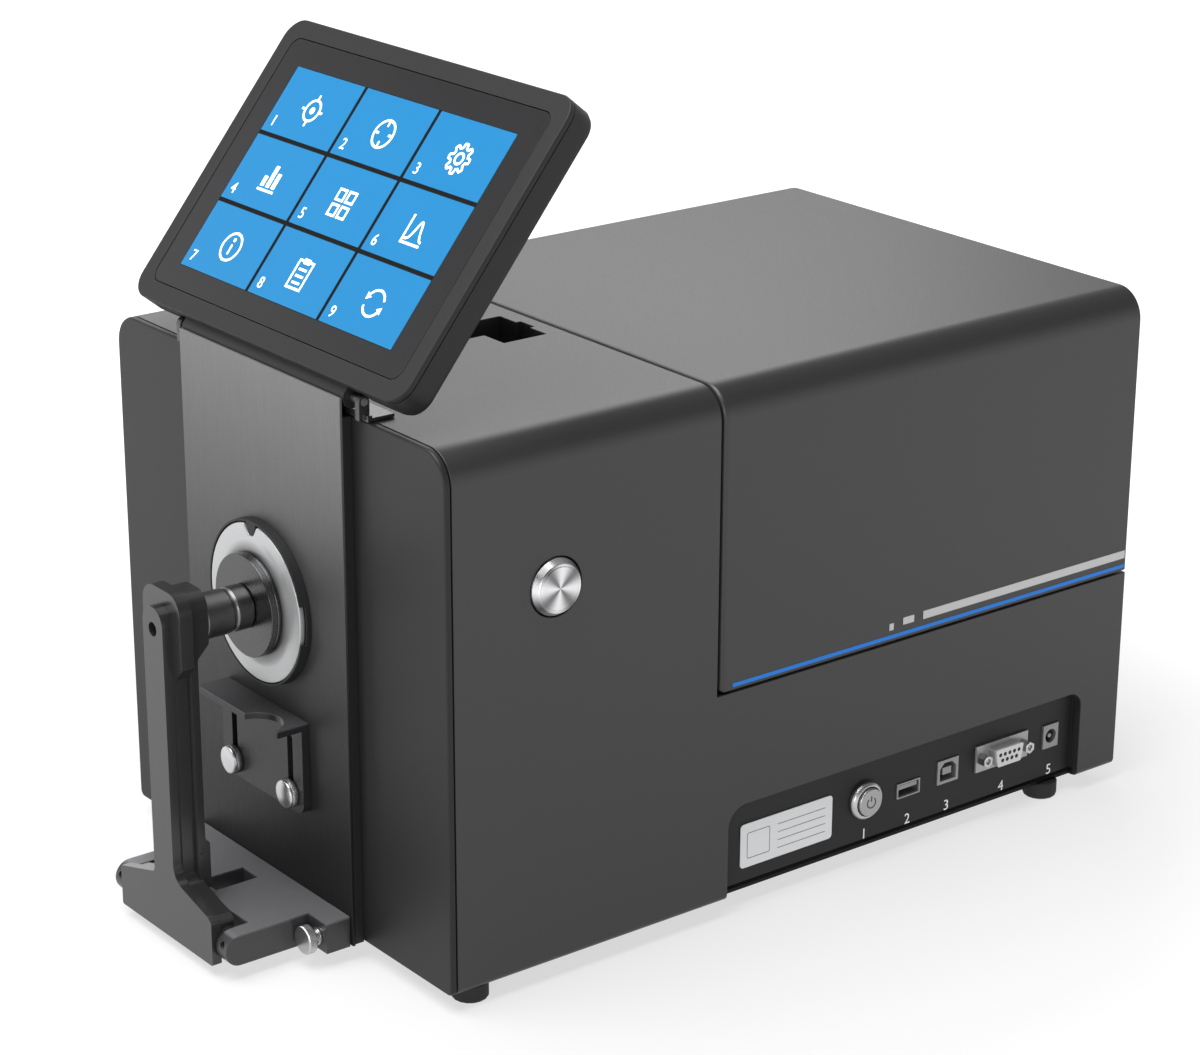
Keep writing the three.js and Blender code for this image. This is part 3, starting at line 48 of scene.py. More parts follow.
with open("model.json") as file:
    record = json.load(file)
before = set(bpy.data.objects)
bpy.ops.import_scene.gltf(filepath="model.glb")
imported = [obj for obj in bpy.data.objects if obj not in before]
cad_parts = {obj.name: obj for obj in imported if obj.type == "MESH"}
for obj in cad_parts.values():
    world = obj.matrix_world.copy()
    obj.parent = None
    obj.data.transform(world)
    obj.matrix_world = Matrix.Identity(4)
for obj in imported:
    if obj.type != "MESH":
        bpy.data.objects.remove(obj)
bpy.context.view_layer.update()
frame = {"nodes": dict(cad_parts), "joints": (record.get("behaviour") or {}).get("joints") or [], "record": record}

MM = 0.001
BODY_OF = {node: body for body, nodes in frame["record"]["behaviour"]["bodies"].items() for node in nodes}
SLOT_OF = {row["node"]: row["material_slot"] for row in frame["record"]["subparts"]}

# The drawing's origin in the part's frame, and places on the drawing, in millimetres
ORIGIN = np.array([-1.4, -152.8, 7.6])
SIDE_FACE = 117.5
BAY_FLOOR = 112.4
SOCKET_PLACES = (216.6, 241.4, 264.2, 296.8, 326.0)
SOCKET_NUMBER_HEIGHT = 5.4
POWER_SIGN_PLACE = (216.2, 21.7)

# Places on the display, in millimetres from its hinge, and its tilt in degrees
DISPLAY_TILT = 51.1
GLASS_FRONT = 8.55
BACKING_FRONT = 8.57
TILE_FRONT = 8.6
SIGN_FRONT = 8.63
SCREEN_FOOT = 20.4
SIGN_SIZE = 1.2
SIGN_SHIFT = (0.7, -1.0)
NUMBER_PLACE = 5.0

KNURL_DEPTH = 0.05
KNURL_TEETH = 48
KNURL_STEPS = 192


def low(node):
    """The lowest corner of a solid, in metres."""
    return np.array(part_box(node)[0])


def high(node):
    """The highest corner of a solid, in metres."""
    return np.array(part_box(node)[1])


def middle(node):
    """The middle of a solid's box, in metres."""
    return (low(node) + high(node)) / 2


def side_place():
    """The matrix to the right-hand side from (along the body, up, outwards) in millimetres on the drawing."""
    turn = Matrix(((0, 0, 1, 0), (1, 0, 0, 0), (0, 1, 0, 0), (0, 0, 0, 1)))
    return Matrix.Scale(MM, 4) @ Matrix.Translation(Vector(ORIGIN)) @ turn


def display_place():
    """The matrix from (across, up the display, out of it) in millimetres to the tilted display."""
    hinge = next(j for j in frame["joints"] if j["name"] == "display_tilt")["pos_m"]
    turn = Matrix.Rotation(math.radians(DISPLAY_TILT), 4, "X")
    return Matrix.Translation(Vector(hinge)) @ turn @ Matrix.Scale(MM, 4)


# Settings

class FinishSettings(bpy.types.PropertyGroup):
    """Colours of the pieces."""
    shell: bpy.props.FloatVectorProperty(
        name="Shell", description="Colour of the body, hood and display shells", subtype="COLOR",
        default=(0.017, 0.017, 0.0175), min=0, max=1)
    panel: bpy.props.FloatVectorProperty(
        name="Panel", description="Colour of the front panel at its top", subtype="COLOR",
        default=(0.165, 0.165, 0.167), min=0, max=1)
    black_metal: bpy.props.FloatVectorProperty(
        name="Black metal", description="Colour of the clamp, shelf and brackets", subtype="COLOR",
        default=(0.018, 0.018, 0.019), min=0, max=1)
    bright_metal: bpy.props.FloatVectorProperty(
        name="Bright metal", description="Colour of the polished pieces", subtype="COLOR",
        default=(0.54, 0.54, 0.55), min=0, max=1)
    edge: bpy.props.FloatProperty(
        name="Edge softness", description="Width of the softened edge of a plain piece", subtype="DISTANCE",
        default=0.3 * MM, min=0, max=2 * MM)


class ScreenSettings(bpy.types.PropertyGroup):
    """Sizes and colour of what the screen shows."""
    tile: bpy.props.FloatVectorProperty(
        name="Tile", description="Colour of the lit tiles", subtype="COLOR",
        default=(0.006, 0.108, 0.245), min=0, max=1)
    glow: bpy.props.FloatProperty(
        name="Glow", description="Strength of the tiles' light", default=0.75, min=0, max=5)
    width: bpy.props.FloatProperty(
        name="Width", description="Width of the nine tiles together", subtype="DISTANCE",
        default=149.4 * MM, min=0.05, max=0.16)
    height: bpy.props.FloatProperty(
        name="Height", description="Height of the nine tiles together", subtype="DISTANCE",
        default=93.3 * MM, min=0.05, max=0.11)
    gap: bpy.props.FloatProperty(
        name="Gap", description="Gap between tiles", subtype="DISTANCE", default=1.9 * MM, min=0, max=0.01)
    stroke: bpy.props.FloatProperty(
        name="Stroke", description="Width of the signs' lines", subtype="DISTANCE",
        default=0.85 * MM, min=0.2 * MM, max=2 * MM)


class StageSettings(bpy.types.PropertyGroup):
    """The studio's light."""
    sky: bpy.props.FloatProperty(
        name="Sky", description="Strength of the even light all round", default=0.2, min=0, max=5)
    top: bpy.props.FloatProperty(
        name="Top light", description="Power of the light above", subtype="POWER",
        default=66, min=0, max=500)
    back: bpy.props.FloatProperty(
        name="Back light", description="Power of the light behind", subtype="POWER",
        default=10.6, min=0, max=500)
    left: bpy.props.FloatProperty(
        name="Left light", description="Power of the light at the left", subtype="POWER",
        default=2, min=0, max=500)
    front: bpy.props.FloatProperty(
        name="Front light", description="Power of the small light that glints on rounded edges",
        subtype="POWER", default=7, min=0, max=500)
    glow: bpy.props.FloatProperty(
        name="Floor glow", description="Strength of the floor's own light beside the object",
        default=0.65, min=0, max=2)
    floor: bpy.props.FloatVectorProperty(
        name="Floor", description="Colour of the floor", subtype="COLOR",
        default=(0.2, 0.2, 0.2), min=0, max=1)


# Materials

# A colour Mix node's sockets
MIX_FACTOR, MIX_FIRST, MIX_SECOND, MIX_RESULT = 0, 6, 7, 2

# Where each noise starts, the scales of the wide noise and the brush strokes, and the strokes' look
FINE_SPOT, WIDE_SPOT, BRUSH_SPOT = 3.7, 11.3, 2.1
WIDE_SCALE, BRUSH_SCALE = 18.0, 700.0
BRUSH_STRETCH, BRUSH_SHADE = (1, 1, 0.04), 0.025

LIGHT_PLATE = (0.44, 0.445, 0.45)

# The front panel's brightness from its foot to its top, as shares of its colour: a painted reflection, light at
# the top and dark at the foot
PANEL_PAINTED_REFLECTION = ((0.0, 0.064), (0.2, 0.1), (0.42, 0.22), (0.63, 0.44), (0.82, 0.7), (1.0, 1.0))


def join_nodes(tree, source, output, target, socket):
    """Links a node's output to another's socket."""
    tree.links.new(source.outputs[output], target.inputs[socket])


def object_place(tree, scale=(1, 1, 1), shift=(0, 0, 0)):
    """Object coordinates, scaled and then shifted."""
    coords = tree.nodes.new("ShaderNodeTexCoord")
    place = tree.nodes.new("ShaderNodeMapping")
    place.inputs["Scale"].default_value = scale
    place.inputs["Location"].default_value = shift
    join_nodes(tree, coords, "Object", place, "Vector")
    return place


def distance_from(tree, place):
    """The length of a place's vector."""
    length = tree.nodes.new("ShaderNodeVectorMath")
    length.operation = "LENGTH"
    join_nodes(tree, place, "Vector", length, "Vector")
    return length


def computed(tree, kind, source, output, *more):
    """A Math node of a kind, fed by a node's output and by more numbers."""
    math_node = tree.nodes.new("ShaderNodeMath")
    math_node.operation = kind
    join_nodes(tree, source, output, math_node, 0)
    for socket, number in enumerate(more, 1):
        math_node.inputs[socket].default_value = number
    return math_node


def scaled_noise(tree, spot, scale, stretch=(1, 1, 1), detail=3.0):
    """Noise round a spot with a grain of 1/scale metres, longer along the axes of a small stretch."""
    place = object_place(tree, [scale * s for s in stretch], [spot] * 3)
    noise = tree.nodes.new("ShaderNodeTexNoise")
    noise.inputs["Scale"].default_value = 1.0
    noise.inputs["Detail"].default_value = detail
    join_nodes(tree, place, "Vector", noise, "Vector")
    return noise


def spread(tree, source, output, low_value, high_value, start=0.3, end=0.7):
    """A value that runs from low to high while the source runs from start to end, and holds outside them."""
    reach = tree.nodes.new("ShaderNodeMapRange")
    reach.inputs["From Min"].default_value = start
    reach.inputs["From Max"].default_value = end
    reach.inputs["To Min"].default_value = low_value
    reach.inputs["To Max"].default_value = high_value
    join_nodes(tree, source, output, reach, "Value")
    return reach


def colour_mix(tree, kind="MIX", factor=1.0):
    """A Mix node for two colours."""
    mix = tree.nodes.new("ShaderNodeMix")
    mix.data_type = "RGBA"
    mix.blend_type = kind
    mix.inputs[MIX_FACTOR].default_value = factor
    return mix


def blend_colours(tree, factor, output, first, second):
    """A colour between two, at a node's value."""
    mix = colour_mix(tree)
    join_nodes(tree, factor, output, mix, MIX_FACTOR)
    mix.inputs[MIX_FIRST].default_value = (*first[:3], 1.0)
    mix.inputs[MIX_SECOND].default_value = (*second[:3], 1.0)
    return mix


def tone(colour, share):
    """A colour made darker or lighter."""
    return [min(1.0, c * share) for c in colour[:3]]


def finish(name, colour, roughness, metallic=0.0, grain=0.5, shade=0.08, rough=0.06, bump=0.04,
           stretch=(1, 1, 1), cloud=0.05, specular=0.5, base=None):
    """A finish whose colour, roughness and height vary with a fine grain, given in millimetres.

    The colour is the mean of a fine noise between two tones of it, shade apart, and a wide soft noise
    between two tones, cloud apart. A base, if given, builds the colour's nodes instead.
    """
    name += "_look"
    made = bpy.data.materials.get(name)
    if made:
        return made
    made = bpy.data.materials.new(name)
    made.use_nodes = True
    tree = made.node_tree
    shader = tree.nodes["Principled BSDF"]
    fine = scaled_noise(tree, FINE_SPOT, 1 / (grain * MM), stretch)
    if base:
        paint = base(tree)
    else:
        wide = scaled_noise(tree, WIDE_SPOT, WIDE_SCALE, detail=2.0)
        grainy = blend_colours(tree, fine, "Fac", tone(colour, 1 - shade), tone(colour, 1 + shade))
        cloudy = blend_colours(tree, wide, "Fac", tone(colour, 1 - cloud), tone(colour, 1 + cloud))
        paint = colour_mix(tree, factor=0.5)
        join_nodes(tree, grainy, MIX_RESULT, paint, MIX_FIRST)
        join_nodes(tree, cloudy, MIX_RESULT, paint, MIX_SECOND)
    join_nodes(tree, paint, MIX_RESULT, shader, "Base Color")
    even = spread(tree, fine, "Fac", max(0.02, roughness - rough), min(1.0, roughness + rough))
    join_nodes(tree, even, "Result", shader, "Roughness")
    shader.inputs["Metallic"].default_value = metallic
    shader.inputs["Specular IOR Level"].default_value = specular
    if bump:
        relief = tree.nodes.new("ShaderNodeBump")
        relief.inputs["Strength"].default_value = bump
        relief.inputs["Distance"].default_value = 0.1 * MM
        join_nodes(tree, fine, "Fac", relief, "Height")
        join_nodes(tree, relief, "Normal", shader, "Normal")
    return made


def coordinates(tree, place=None):
    """The three coordinates of a place, or of the surface itself."""
    parts = tree.nodes.new("ShaderNodeSeparateXYZ")
    if place:
        join_nodes(tree, place, "Vector", parts, "Vector")
    else:
        join_nodes(tree, tree.nodes.new("ShaderNodeTexCoord"), "Object", parts, "Vector")
    return parts


def fade_colours(axis, start, end, rows):
    """A brushed base that runs through rows of (place 0 to 1, colour) between two places on an axis; the front
    panel uses it for its painted reflection.
    """
    def build(tree):
        reach = spread(tree, coordinates(tree), axis, 0.0, 1.0, start, end)
        ramp = tree.nodes.new("ShaderNodeValToRGB")
        ramp.color_ramp.interpolation = "LINEAR"
        stops = ramp.color_ramp.elements
        stops[0].position, stops[1].position = rows[0][0], rows[-1][0]
        for place, _ in rows[1:-1]:
            stops.new(place)
        for stop, (_, colour) in zip(stops, rows):
            stop.color = (*colour[:3], 1.0)
        join_nodes(tree, reach, "Result", ramp, "Fac")
        strokes = scaled_noise(tree, BRUSH_SPOT, BRUSH_SCALE, BRUSH_STRETCH)
        scale = spread(tree, strokes, "Fac", 1 - BRUSH_SHADE, 1 + BRUSH_SHADE)
        brushed = colour_mix(tree, "MULTIPLY")
        join_nodes(tree, ramp, "Color", brushed, MIX_FIRST)
        join_nodes(tree, scale, "Result", brushed, MIX_SECOND)
        return brushed
    return build


def sector_colours(node, dark, light, sectors, turn):
    """A base of soft bright sectors round a solid's middle: painted highlights, like the glints on turned metal.

    The brightness is (1 + cos(sectors * angle + turn)) / 2.
    """
    def build(tree):
        parts = coordinates(tree, object_place(tree, shift=-middle(node)))
        angle = computed(tree, "ARCTAN2", parts, "Z")
        join_nodes(tree, parts, "Y", angle, 1)
        turned_on = computed(tree, "MULTIPLY_ADD", angle, "Value", sectors, turn)
        wave = computed(tree, "COSINE", turned_on, "Value")
        reach = spread(tree, wave, "Value", 0.0, 1.0, -1.0, 1.0)
        return blend_colours(tree, reach, "Result", dark, light)
    return build


def ring_colours(centre, near, far, inside, outside):
    """A base that turns from the inside colour to the outside one between two radii about an axis along Y; the
    mask uses it for painted shade round its hub.
    """
    def build(tree):
        radius = distance_from(tree, object_place(tree, (1, 0, 1), (-centre[0], 0, -centre[2])))
        reach = spread(tree, radius, "Value", 0.0, 1.0, near * MM, far * MM)
        return blend_colours(tree, reach, "Result", inside, outside)
    return build


def deep_colours(axis, face, depth, inside, outside):
    """A base that turns from the outside colour to the inside one past a depth behind a face; it paints light and
    shade: lit tops and fronts, shaded socket mouths.

    The depth runs against the axis; a negative one is for a face that looks the other way.
    """
    def build(tree):
        reach = spread(tree, coordinates(tree), axis, 0.0, 1.0, face - depth * MM, face - depth * MM / 2)
        return blend_colours(tree, reach, "Result", inside, outside)
    return build


def finishes():
    """The finishes by the slot of the record that each one stands for."""
    look = bpy.context.scene.instrument_finish
    return {
        "dark_shell": finish("charcoal_shell", look.shell, 0.4, grain=0.35, bump=0.03, specular=0.52),
        "black_plastic": finish("black_moulding", (0.013, 0.013, 0.014), 0.5, grain=0.4, specular=0.25),
        "black_metal": finish("black_anodised", look.black_metal, 0.22, grain=0.6, shade=0.04, rough=0.03,
                              bump=0, specular=0.6),
        "bright_metal": finish("polished_metal", look.bright_metal, 0.31, metallic=1.0, grain=0.6,
                               shade=0.05, rough=0.04, bump=0.01),
        "brushed_metal": finish("brushed_metal", (0.46, 0.46, 0.47), 0.3, metallic=1.0, grain=0.25,
                                stretch=(1, 1, 0.06)),
        "light_plate": finish("light_satin_plate", LIGHT_PLATE, 0.34, metallic=0.6, grain=0.4, shade=0.04),
        "label_stock": finish("label_stock", (0.69, 0.7, 0.71), 0.5, grain=0.3, shade=0.04),
        "board_green": finish("board_green", (0.014, 0.1, 0.042), 0.4, grain=1.2, shade=0.2),
        "white_coat": finish("white_diffuse_coat", (0.86, 0.86, 0.84), 0.9, grain=0.6, shade=0.03),
        "cast_metal": finish("cast_metal", (0.28, 0.285, 0.29), 0.5, metallic=0.8, grain=0.8, bump=0.12),
        "rubber": finish("foot_rubber", (0.012, 0.012, 0.013), 0.8, grain=0.5, bump=0.1),
        "dark_glass": finish("display_window", (0.012, 0.012, 0.013), 0.3, grain=3.0, shade=0.02,
                             rough=0.02, bump=0, specular=0.3),
        "clear_glass": finish("lens_glass", (0.72, 0.78, 0.82), 0.05, grain=3.0, shade=0.02, rough=0.02,
                              bump=0),
    }


def finish_of(node):
    """The finish of a node's slot; the satin panel's slot has its own fade, a painted reflection that is light at
    the top and dark at the foot.
    """
    slot = SLOT_OF[node]
    if slot == "satin_panel":
        look = bpy.context.scene.instrument_finish
        start, end = low("front_panel")[2], high("front_panel")[2]
        # painted reflection: the panel's colour runs from light at its top to dark at its foot
        rows = [(place, tone(look.panel, share)) for place, share in PANEL_PAINTED_REFLECTION]
        return finish("satin_panel", look.panel, 0.5, metallic=0.6, grain=0.3, stretch=(1, 1, 0.05),
                      base=fade_colours("Z", start, end, rows))
    return finishes()[slot]


# Making pieces

# Angles in degrees from which an edge is softened and up to which facets are one flat face, and the distance
# in metres over which a solid's loose corners meet
SHARP_ANGLE, FLAT_ANGLE, MERGE_DISTANCE = 32, 0.8, 2e-6


def placed(name, mesh, material, body, stands_for=()):
    """Puts a mesh into the scene as a piece that rides on a body and may stand for nodes."""
    mesh.materials.clear()
    mesh.materials.append(material)
    piece = bpy.data.objects.new(name, mesh)
    bpy.context.scene.collection.objects.link(piece)
    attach(piece, body)
    if stands_for:
        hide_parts(*stands_for)
    return piece


def surface(name, points, faces):
    """A smooth closed mesh from points in metres and faces, which are turned outwards."""
    mesh = bpy.data.meshes.new(name)
    mesh.from_pydata(points.tolist(), [], faces)
    work = bmesh.new()
    work.from_mesh(mesh)
    bmesh.ops.remove_doubles(work, verts=work.verts, dist=1e-7)
    bmesh.ops.recalc_face_normals(work, faces=work.faces)
    work.to_mesh(mesh)
    work.free()
    mesh.shade_smooth()
    return mesh


def soften(piece, width, segments=2):
    """Rounds the piece's sharp edges and keeps its flat faces flat in the light."""
    if width:
        edge = piece.modifiers.new("soft_edge", "BEVEL")
        edge.width = width
        edge.segments = segments
        edge.limit_method = "ANGLE"
        edge.angle_limit = math.radians(SHARP_ANGLE)
        edge.miter_outer = "MITER_ARC"
    flat = piece.modifiers.new("flat_faces", "WEIGHTED_NORMAL")
    flat.mode = "FACE_AREA"
    flat.weight = 50
    flat.keep_sharp = True


def merged_copy(node):
    """A copy of a solid's mesh with its loose facets merged and its coplanar facets joined."""
    mesh = bpy.data.meshes.new(node + "_surface")
    work = bmesh.new()
    work.from_mesh(frame["nodes"][node].data)
    bmesh.ops.remove_doubles(work, verts=work.verts, dist=MERGE_DISTANCE)
    bmesh.ops.dissolve_limit(work, angle_limit=math.radians(FLAT_ANGLE), verts=work.verts, edges=work.edges)
    work.to_mesh(mesh)
    work.free()
    mesh.shade_smooth()
    return mesh


def dressed(node, width=None, material=None, segments=2):
    """Stands a softened copy of a solid in its place; the width of its edges is in millimetres."""
    look = bpy.context.scene.instrument_finish
    width = look.edge if width is None else width * MM
    piece = placed(node + "_finished", merged_copy(node), material or finish_of(node), BODY_OF[node],
                   (node,))
    soften(piece, width, segments)


def repainted(*nodes):
    """Gives solids whose shape is right their better finish."""
    for node in nodes:
        for slot in frame["nodes"][node].material_slots:
            slot.material = finish_of(node)


def rounded(profile, radius, steps=4):
    """A profile of (radius, place) rows whose corners, apart from its ends, become short curves.

    Each corner P between A and B, a distance radius from it, becomes (1-t)^2 A + 2t(1-t) P + t^2 B.
    """
    rows = np.asarray(profile, float)
    parts = [rows[:1]]
    t = np.linspace(0, 1, steps + 1)[:, None]
    for before, here, after in zip(rows[:-2], rows[1:-1], rows[2:]):
        back, ahead = before - here, after - here
        reach = min(radius, np.linalg.norm(back) * 0.45, np.linalg.norm(ahead) * 0.45)
        a = here + back / np.linalg.norm(back) * reach
        b = here + ahead / np.linalg.norm(ahead) * reach
        parts.append((1 - t) ** 2 * a + 2 * t * (1 - t) * here + t ** 2 * b)
    parts.append(rows[-1:])
    return np.concatenate(parts)


# The directions across and up a turned piece's face, and along its axis
AXES = {
    "x": (np.array([0.0, 1, 0]), np.array([0.0, 0, 1]), np.array([1.0, 0, 0])),
    "-y": (np.array([1.0, 0, 0]), np.array([0.0, 0, 1]), np.array([0.0, -1, 0])),
}


def around(steps):
    """The angles of a full turn in equal steps, in radians."""
    return np.arange(steps) * 2 * np.pi / steps


def ways(angles):
    """Rows of (cos a, sin a)."""
    return np.column_stack([np.cos(angles), np.sin(angles)])


def at_height(points, height):
    """Flat points at one height."""
    return np.column_stack([points, np.full(len(points), height)])


def knurled(ridged):
    """Shares of the radius for a knurled edge: 1 - depth * (1 + cos(teeth * a)) / 2 on the ridged rows."""
    shares = np.ones((len(ridged), KNURL_STEPS))
    shares[ridged] = 1 - KNURL_DEPTH * (1 + np.cos(KNURL_TEETH * around(KNURL_STEPS))) / 2
    return shares


def turning(node, axis):
    """The middle of a round solid's foot, and its length along the axis and radius in millimetres."""
    near, far, centre = low(node), high(node), middle(node)
    if axis == "x":
        centre[0] = near[0]
        length, width = far[0] - near[0], far[1] - near[1]
    else:
        centre[1] = far[1]
        length, width = far[1] - near[1], far[0] - near[0]
    return centre, length / MM, width / 2 / MM


def turned_piece(node, profile, axis, material, steps=96, reach=None):
    """Stands a profile of (radius, place) rows in millimetres, turned about an axis, in a solid's place.

    p(i, a) = foot + place_i * axis + radius_i * reach(i, a) * (cos a, sin a), where reach, if given, has a
    row for each profile row and a column for each angle.
    """
    rows = np.asarray(profile, float)
    across, up, along = AXES[axis]
    angles = around(steps)
    radius = rows[:, :1] * (np.ones((len(rows), steps)) if reach is None else reach)
    points = (
        turning(node, axis)[0]
        + MM * rows[:, 1][:, None, None] * along
        + MM * (radius * np.cos(angles))[:, :, None] * across
        + MM * (radius * np.sin(angles))[:, :, None] * up
    ).reshape(-1, 3)
    i, j = np.meshgrid(np.arange(len(rows) - 1), np.arange(steps), indexing="ij")
    k = (j + 1) % steps
    corners = [i * steps + j, i * steps + k, (i + 1) * steps + k, (i + 1) * steps + j]
    name = node + "_finished"
    mesh = surface(name, points, np.stack(corners, -1).reshape(-1, 4).tolist())
    soften(placed(name, mesh, material, BODY_OF[node], (node,)), 0)


def unit(steps):
    """Rows of length 1."""
    return steps / np.maximum(np.linalg.norm(steps, axis=1, keepdims=True), 1e-9)


def ribbon(path, width, foot, top, closed):
    """A strip of rectangular section along a flat path: p(s) +- n(s) * width/2, at two heights.

    n(s) is square to the mean of the steps before and after, and longer at a bend, up to twice.
    """
    path = np.asarray(path, float)
    if closed:
        ahead, behind = np.roll(path, -1, 0), np.roll(path, 1, 0)
    else:
        ahead = np.vstack([path[1:], path[-1:]])
        behind = np.vstack([path[:1], path[:-1]])
    step_in, step_out = unit(path - behind), unit(ahead - path)
    if not closed:
        step_in[0], step_out[-1] = step_out[0], step_in[-1]
    both = step_in + step_out
    normal = np.stack([-both[:, 1], both[:, 0]], 1)
    size = np.linalg.norm(normal, axis=1, keepdims=True)
    normal = unit(normal) / np.maximum(size / 2, 0.5)
    left, right = path + normal * width / 2, path - normal * width / 2
    count = len(path)
    rows = [at_height(*side) for side in ((left, foot), (right, foot), (right, top), (left, top))]
    points = np.stack(rows, 1).reshape(-1, 3)
    i = np.arange(count if closed else count - 1)
    j = (i + 1) % count
    faces = []
    for a in range(4):
        b = (a + 1) % 4
        faces += np.stack([i * 4 + a, j * 4 + a, j * 4 + b, i * 4 + b], 1).tolist()
    if not closed:
        last = (count - 1) * 4
        faces += [[0, 1, 2, 3], [last + 3, last + 2, last + 1, last]]
    return points, faces


def plate(corners, foot, top):
    """A flat plate with the given corners, at two heights."""
    flat = np.asarray(corners, float)
    count = len(flat)
    points = np.vstack([at_height(flat, foot), at_height(flat, top)])
    sides = [[i, (i + 1) % count, (i + 1) % count + count, i + count] for i in range(count)]
    return points, [list(range(count))[::-1], list(range(count, 2 * count))] + sides


def oblong(left, right, foot, top, radius=0.0, steps=6):
    """Corners of a rectangle, each with a quarter circle of the radius."""
    if not radius:
        return np.array([[left, foot], [right, foot], [right, top], [left, top]])
    quarter = np.linspace(0, np.pi / 2, steps)
    parts = []
    for index, (u, v) in enumerate(((right, top), (left, top), (left, foot), (right, foot))):
        angles = quarter + index * np.pi / 2
        side = np.sign([u - (left + right) / 2, v - (foot + top) / 2])
        centre = np.array([u, v]) - side * radius
        parts.append(centre + radius * ways(angles))
    return np.concatenate(parts)


def arc(centre, radius, start=0.0, end=360.0, steps=40):
    """Points on a circle between two angles in degrees; a full circle leaves its last point out."""
    full = abs(end - start) >= 360
    angles = np.radians(np.linspace(start, end, steps, endpoint=not full))
    return np.asarray(centre) + radius * ways(angles)


def piled(parts):
    """Several (points, faces) as one."""
    points, faces, start = [], [], 0
    for some, these in parts:
        points.append(some)
        faces += [[start + i for i in face] for face in these]
        start += len(some)
    return np.concatenate(points), faces


def moved(part, across, up):
    """A (points, faces) pair set aside."""
    points, faces = part
    return points + np.array([across, up, 0.0]), faces


def lettering(text, size, at, foot, top):
    """A number as a solid plate of letters, with its middle at a place, from a font curve made a mesh."""
    curve = bpy.data.curves.new("number", "FONT")
    curve.body = text
    curve.size = size
    curve.extrude = (top - foot) / 2
    curve.resolution_u = 3
    curve.align_x = "CENTER"
    curve.align_y = "CENTER"
    holder = bpy.data.objects.new("number", curve)
    bpy.context.scene.collection.objects.link(holder)
    bpy.context.view_layer.update()
    mesh = bpy.data.meshes.new_from_object(holder.evaluated_get(bpy.context.evaluated_depsgraph_get()))
    points = np.zeros(len(mesh.vertices) * 3)
    mesh.vertices.foreach_get("co", points)
    faces = [list(face.vertices) for face in mesh.polygons]
    bpy.data.objects.remove(holder)
    bpy.data.meshes.remove(mesh)
    bpy.data.curves.remove(curve)
    return points.reshape(-1, 3) + np.array([*at, (foot + top) / 2]), faces


def flat_piece(name, parts, place, material, body):
    """Flat plates and strips as one piece, put in place by a matrix."""
    points, faces = piled(parts)
    turn = np.array(place)
    points = points @ turn[:3, :3].T + turn[:3, 3]
    mesh = surface(name, points, faces)
    mesh.shade_flat()
    return placed(name, mesh, material, body)


# The pieces

class INSTRUMENT_OT_body(bpy.types.Operator):
    """Dress the housing, frame, hood and feet"""
    bl_idname = "instrument.body"
    bl_label = "Body"

    def execute(self, context):
        for node in ("main_housing", "hood"):
            dressed(node, 0.9, segments=3)
        shell = context.scene.instrument_finish.shell
        darker = finish("charcoal_frame", tone(shell, 0.7), 0.44, grain=0.35, bump=0.03, specular=0.27)
        dressed("front_frame", 0.5, darker, segments=3)
        for node in ("foot_front_left", "foot_front_right", "foot_rear_left", "foot_rear_right"):
            dressed(node, 0.5)
        return {"FINISHED"}


class INSTRUMENT_OT_front_panel(bpy.types.Operator):
    """Dress the front panel, the port's ring and its mask"""
    bl_idname = "instrument.front_panel"
    bl_label = "Front panel"

    def execute(self, context):
        dressed("front_panel", 0.2)
        dressed("panel_backing", 0.2)
        dressed("bayonet_ring", 0.3)
        self.mask()
        return {"FINISHED"}

    def mask(self):
        """A plate turned about the port, with a hub that rises from it in a smooth flare; the hub and flare carry
        painted shade under the clamp disc.

        The flare runs inwards with s from 0 to 1, and its height is rise * (1 - cos(pi s)) / 2. The plate's
        edge is drawn in by a notch of depth * (1 - share^1.5) over the ring's tooth, where share runs from 0
        to 1 across each of the notch's slopes.
        """
        radius, bore, hub, flare_start, flare_width = 32.6, 15.0, 21.1, 26.4, 5.0
        rise, soft = 0.7, 0.4
        notch_at, notch_half, notch_slope, notch_depth = -1.8, 1.6, 3.4, 4.9
        centre, total, _ = turning("aperture_mask", "-y")
        front = total - rise
        rows = [(bore, 0), (radius - soft, 0), (radius, soft), (radius, front - soft), (radius - soft, front)]
        rows += [(flare_start - flare_width * s, front + rise * (1 - np.cos(np.pi * s)) / 2)
                 for s in np.linspace(0, 1, 14)]
        rows += [(hub, total), (bore + soft, total), (bore, total - soft), (bore, 0)]
        rows = np.array(rows)
        steps = 360
        angles = around(steps)
        share = np.clip((np.abs(radius * np.cos(angles) - notch_at) - notch_half) / notch_slope, 0, 1)
        edge = radius - notch_depth * np.where(np.sin(angles) > 0, 1 - share ** 1.5, 0)
        reach = np.ones((len(rows), steps))
        outer = rows[:, 0] > edge.min()
        reach[outer] = np.minimum(1.0, edge / rows[outer][:, :1])
        # painted shade: the plate turns dark towards its hub and flare, where the clamp disc shades it
        shaded = ring_colours(centre, 21.3, 26.0, (0.1, 0.1, 0.102), LIGHT_PLATE)
        satin = finish("mask_satin_painted_shade", LIGHT_PLATE, 0.34, metallic=0.6, grain=0.4, shade=0.04, base=shaded)
        turned_piece("aperture_mask", rows, "-y", satin, steps, reach)


class INSTRUMENT_OT_display(bpy.types.Operator):
    """Dress the display's shells and its hinge"""
    bl_idname = "instrument.display"
    bl_label = "Display"

    def execute(self, context):
        shell = tone(context.scene.instrument_finish.shell, 0.78)
        shell = finish("charcoal_display", shell, 0.46, grain=0.35, specular=0.25)
        dressed("display_back_cover", 0.4, shell)
        dressed("display_bezel", 0.15, shell)
        dressed("display_glass", 0.08)
        dressed("hinge_bracket", 0.3)
        return {"FINISHED"}


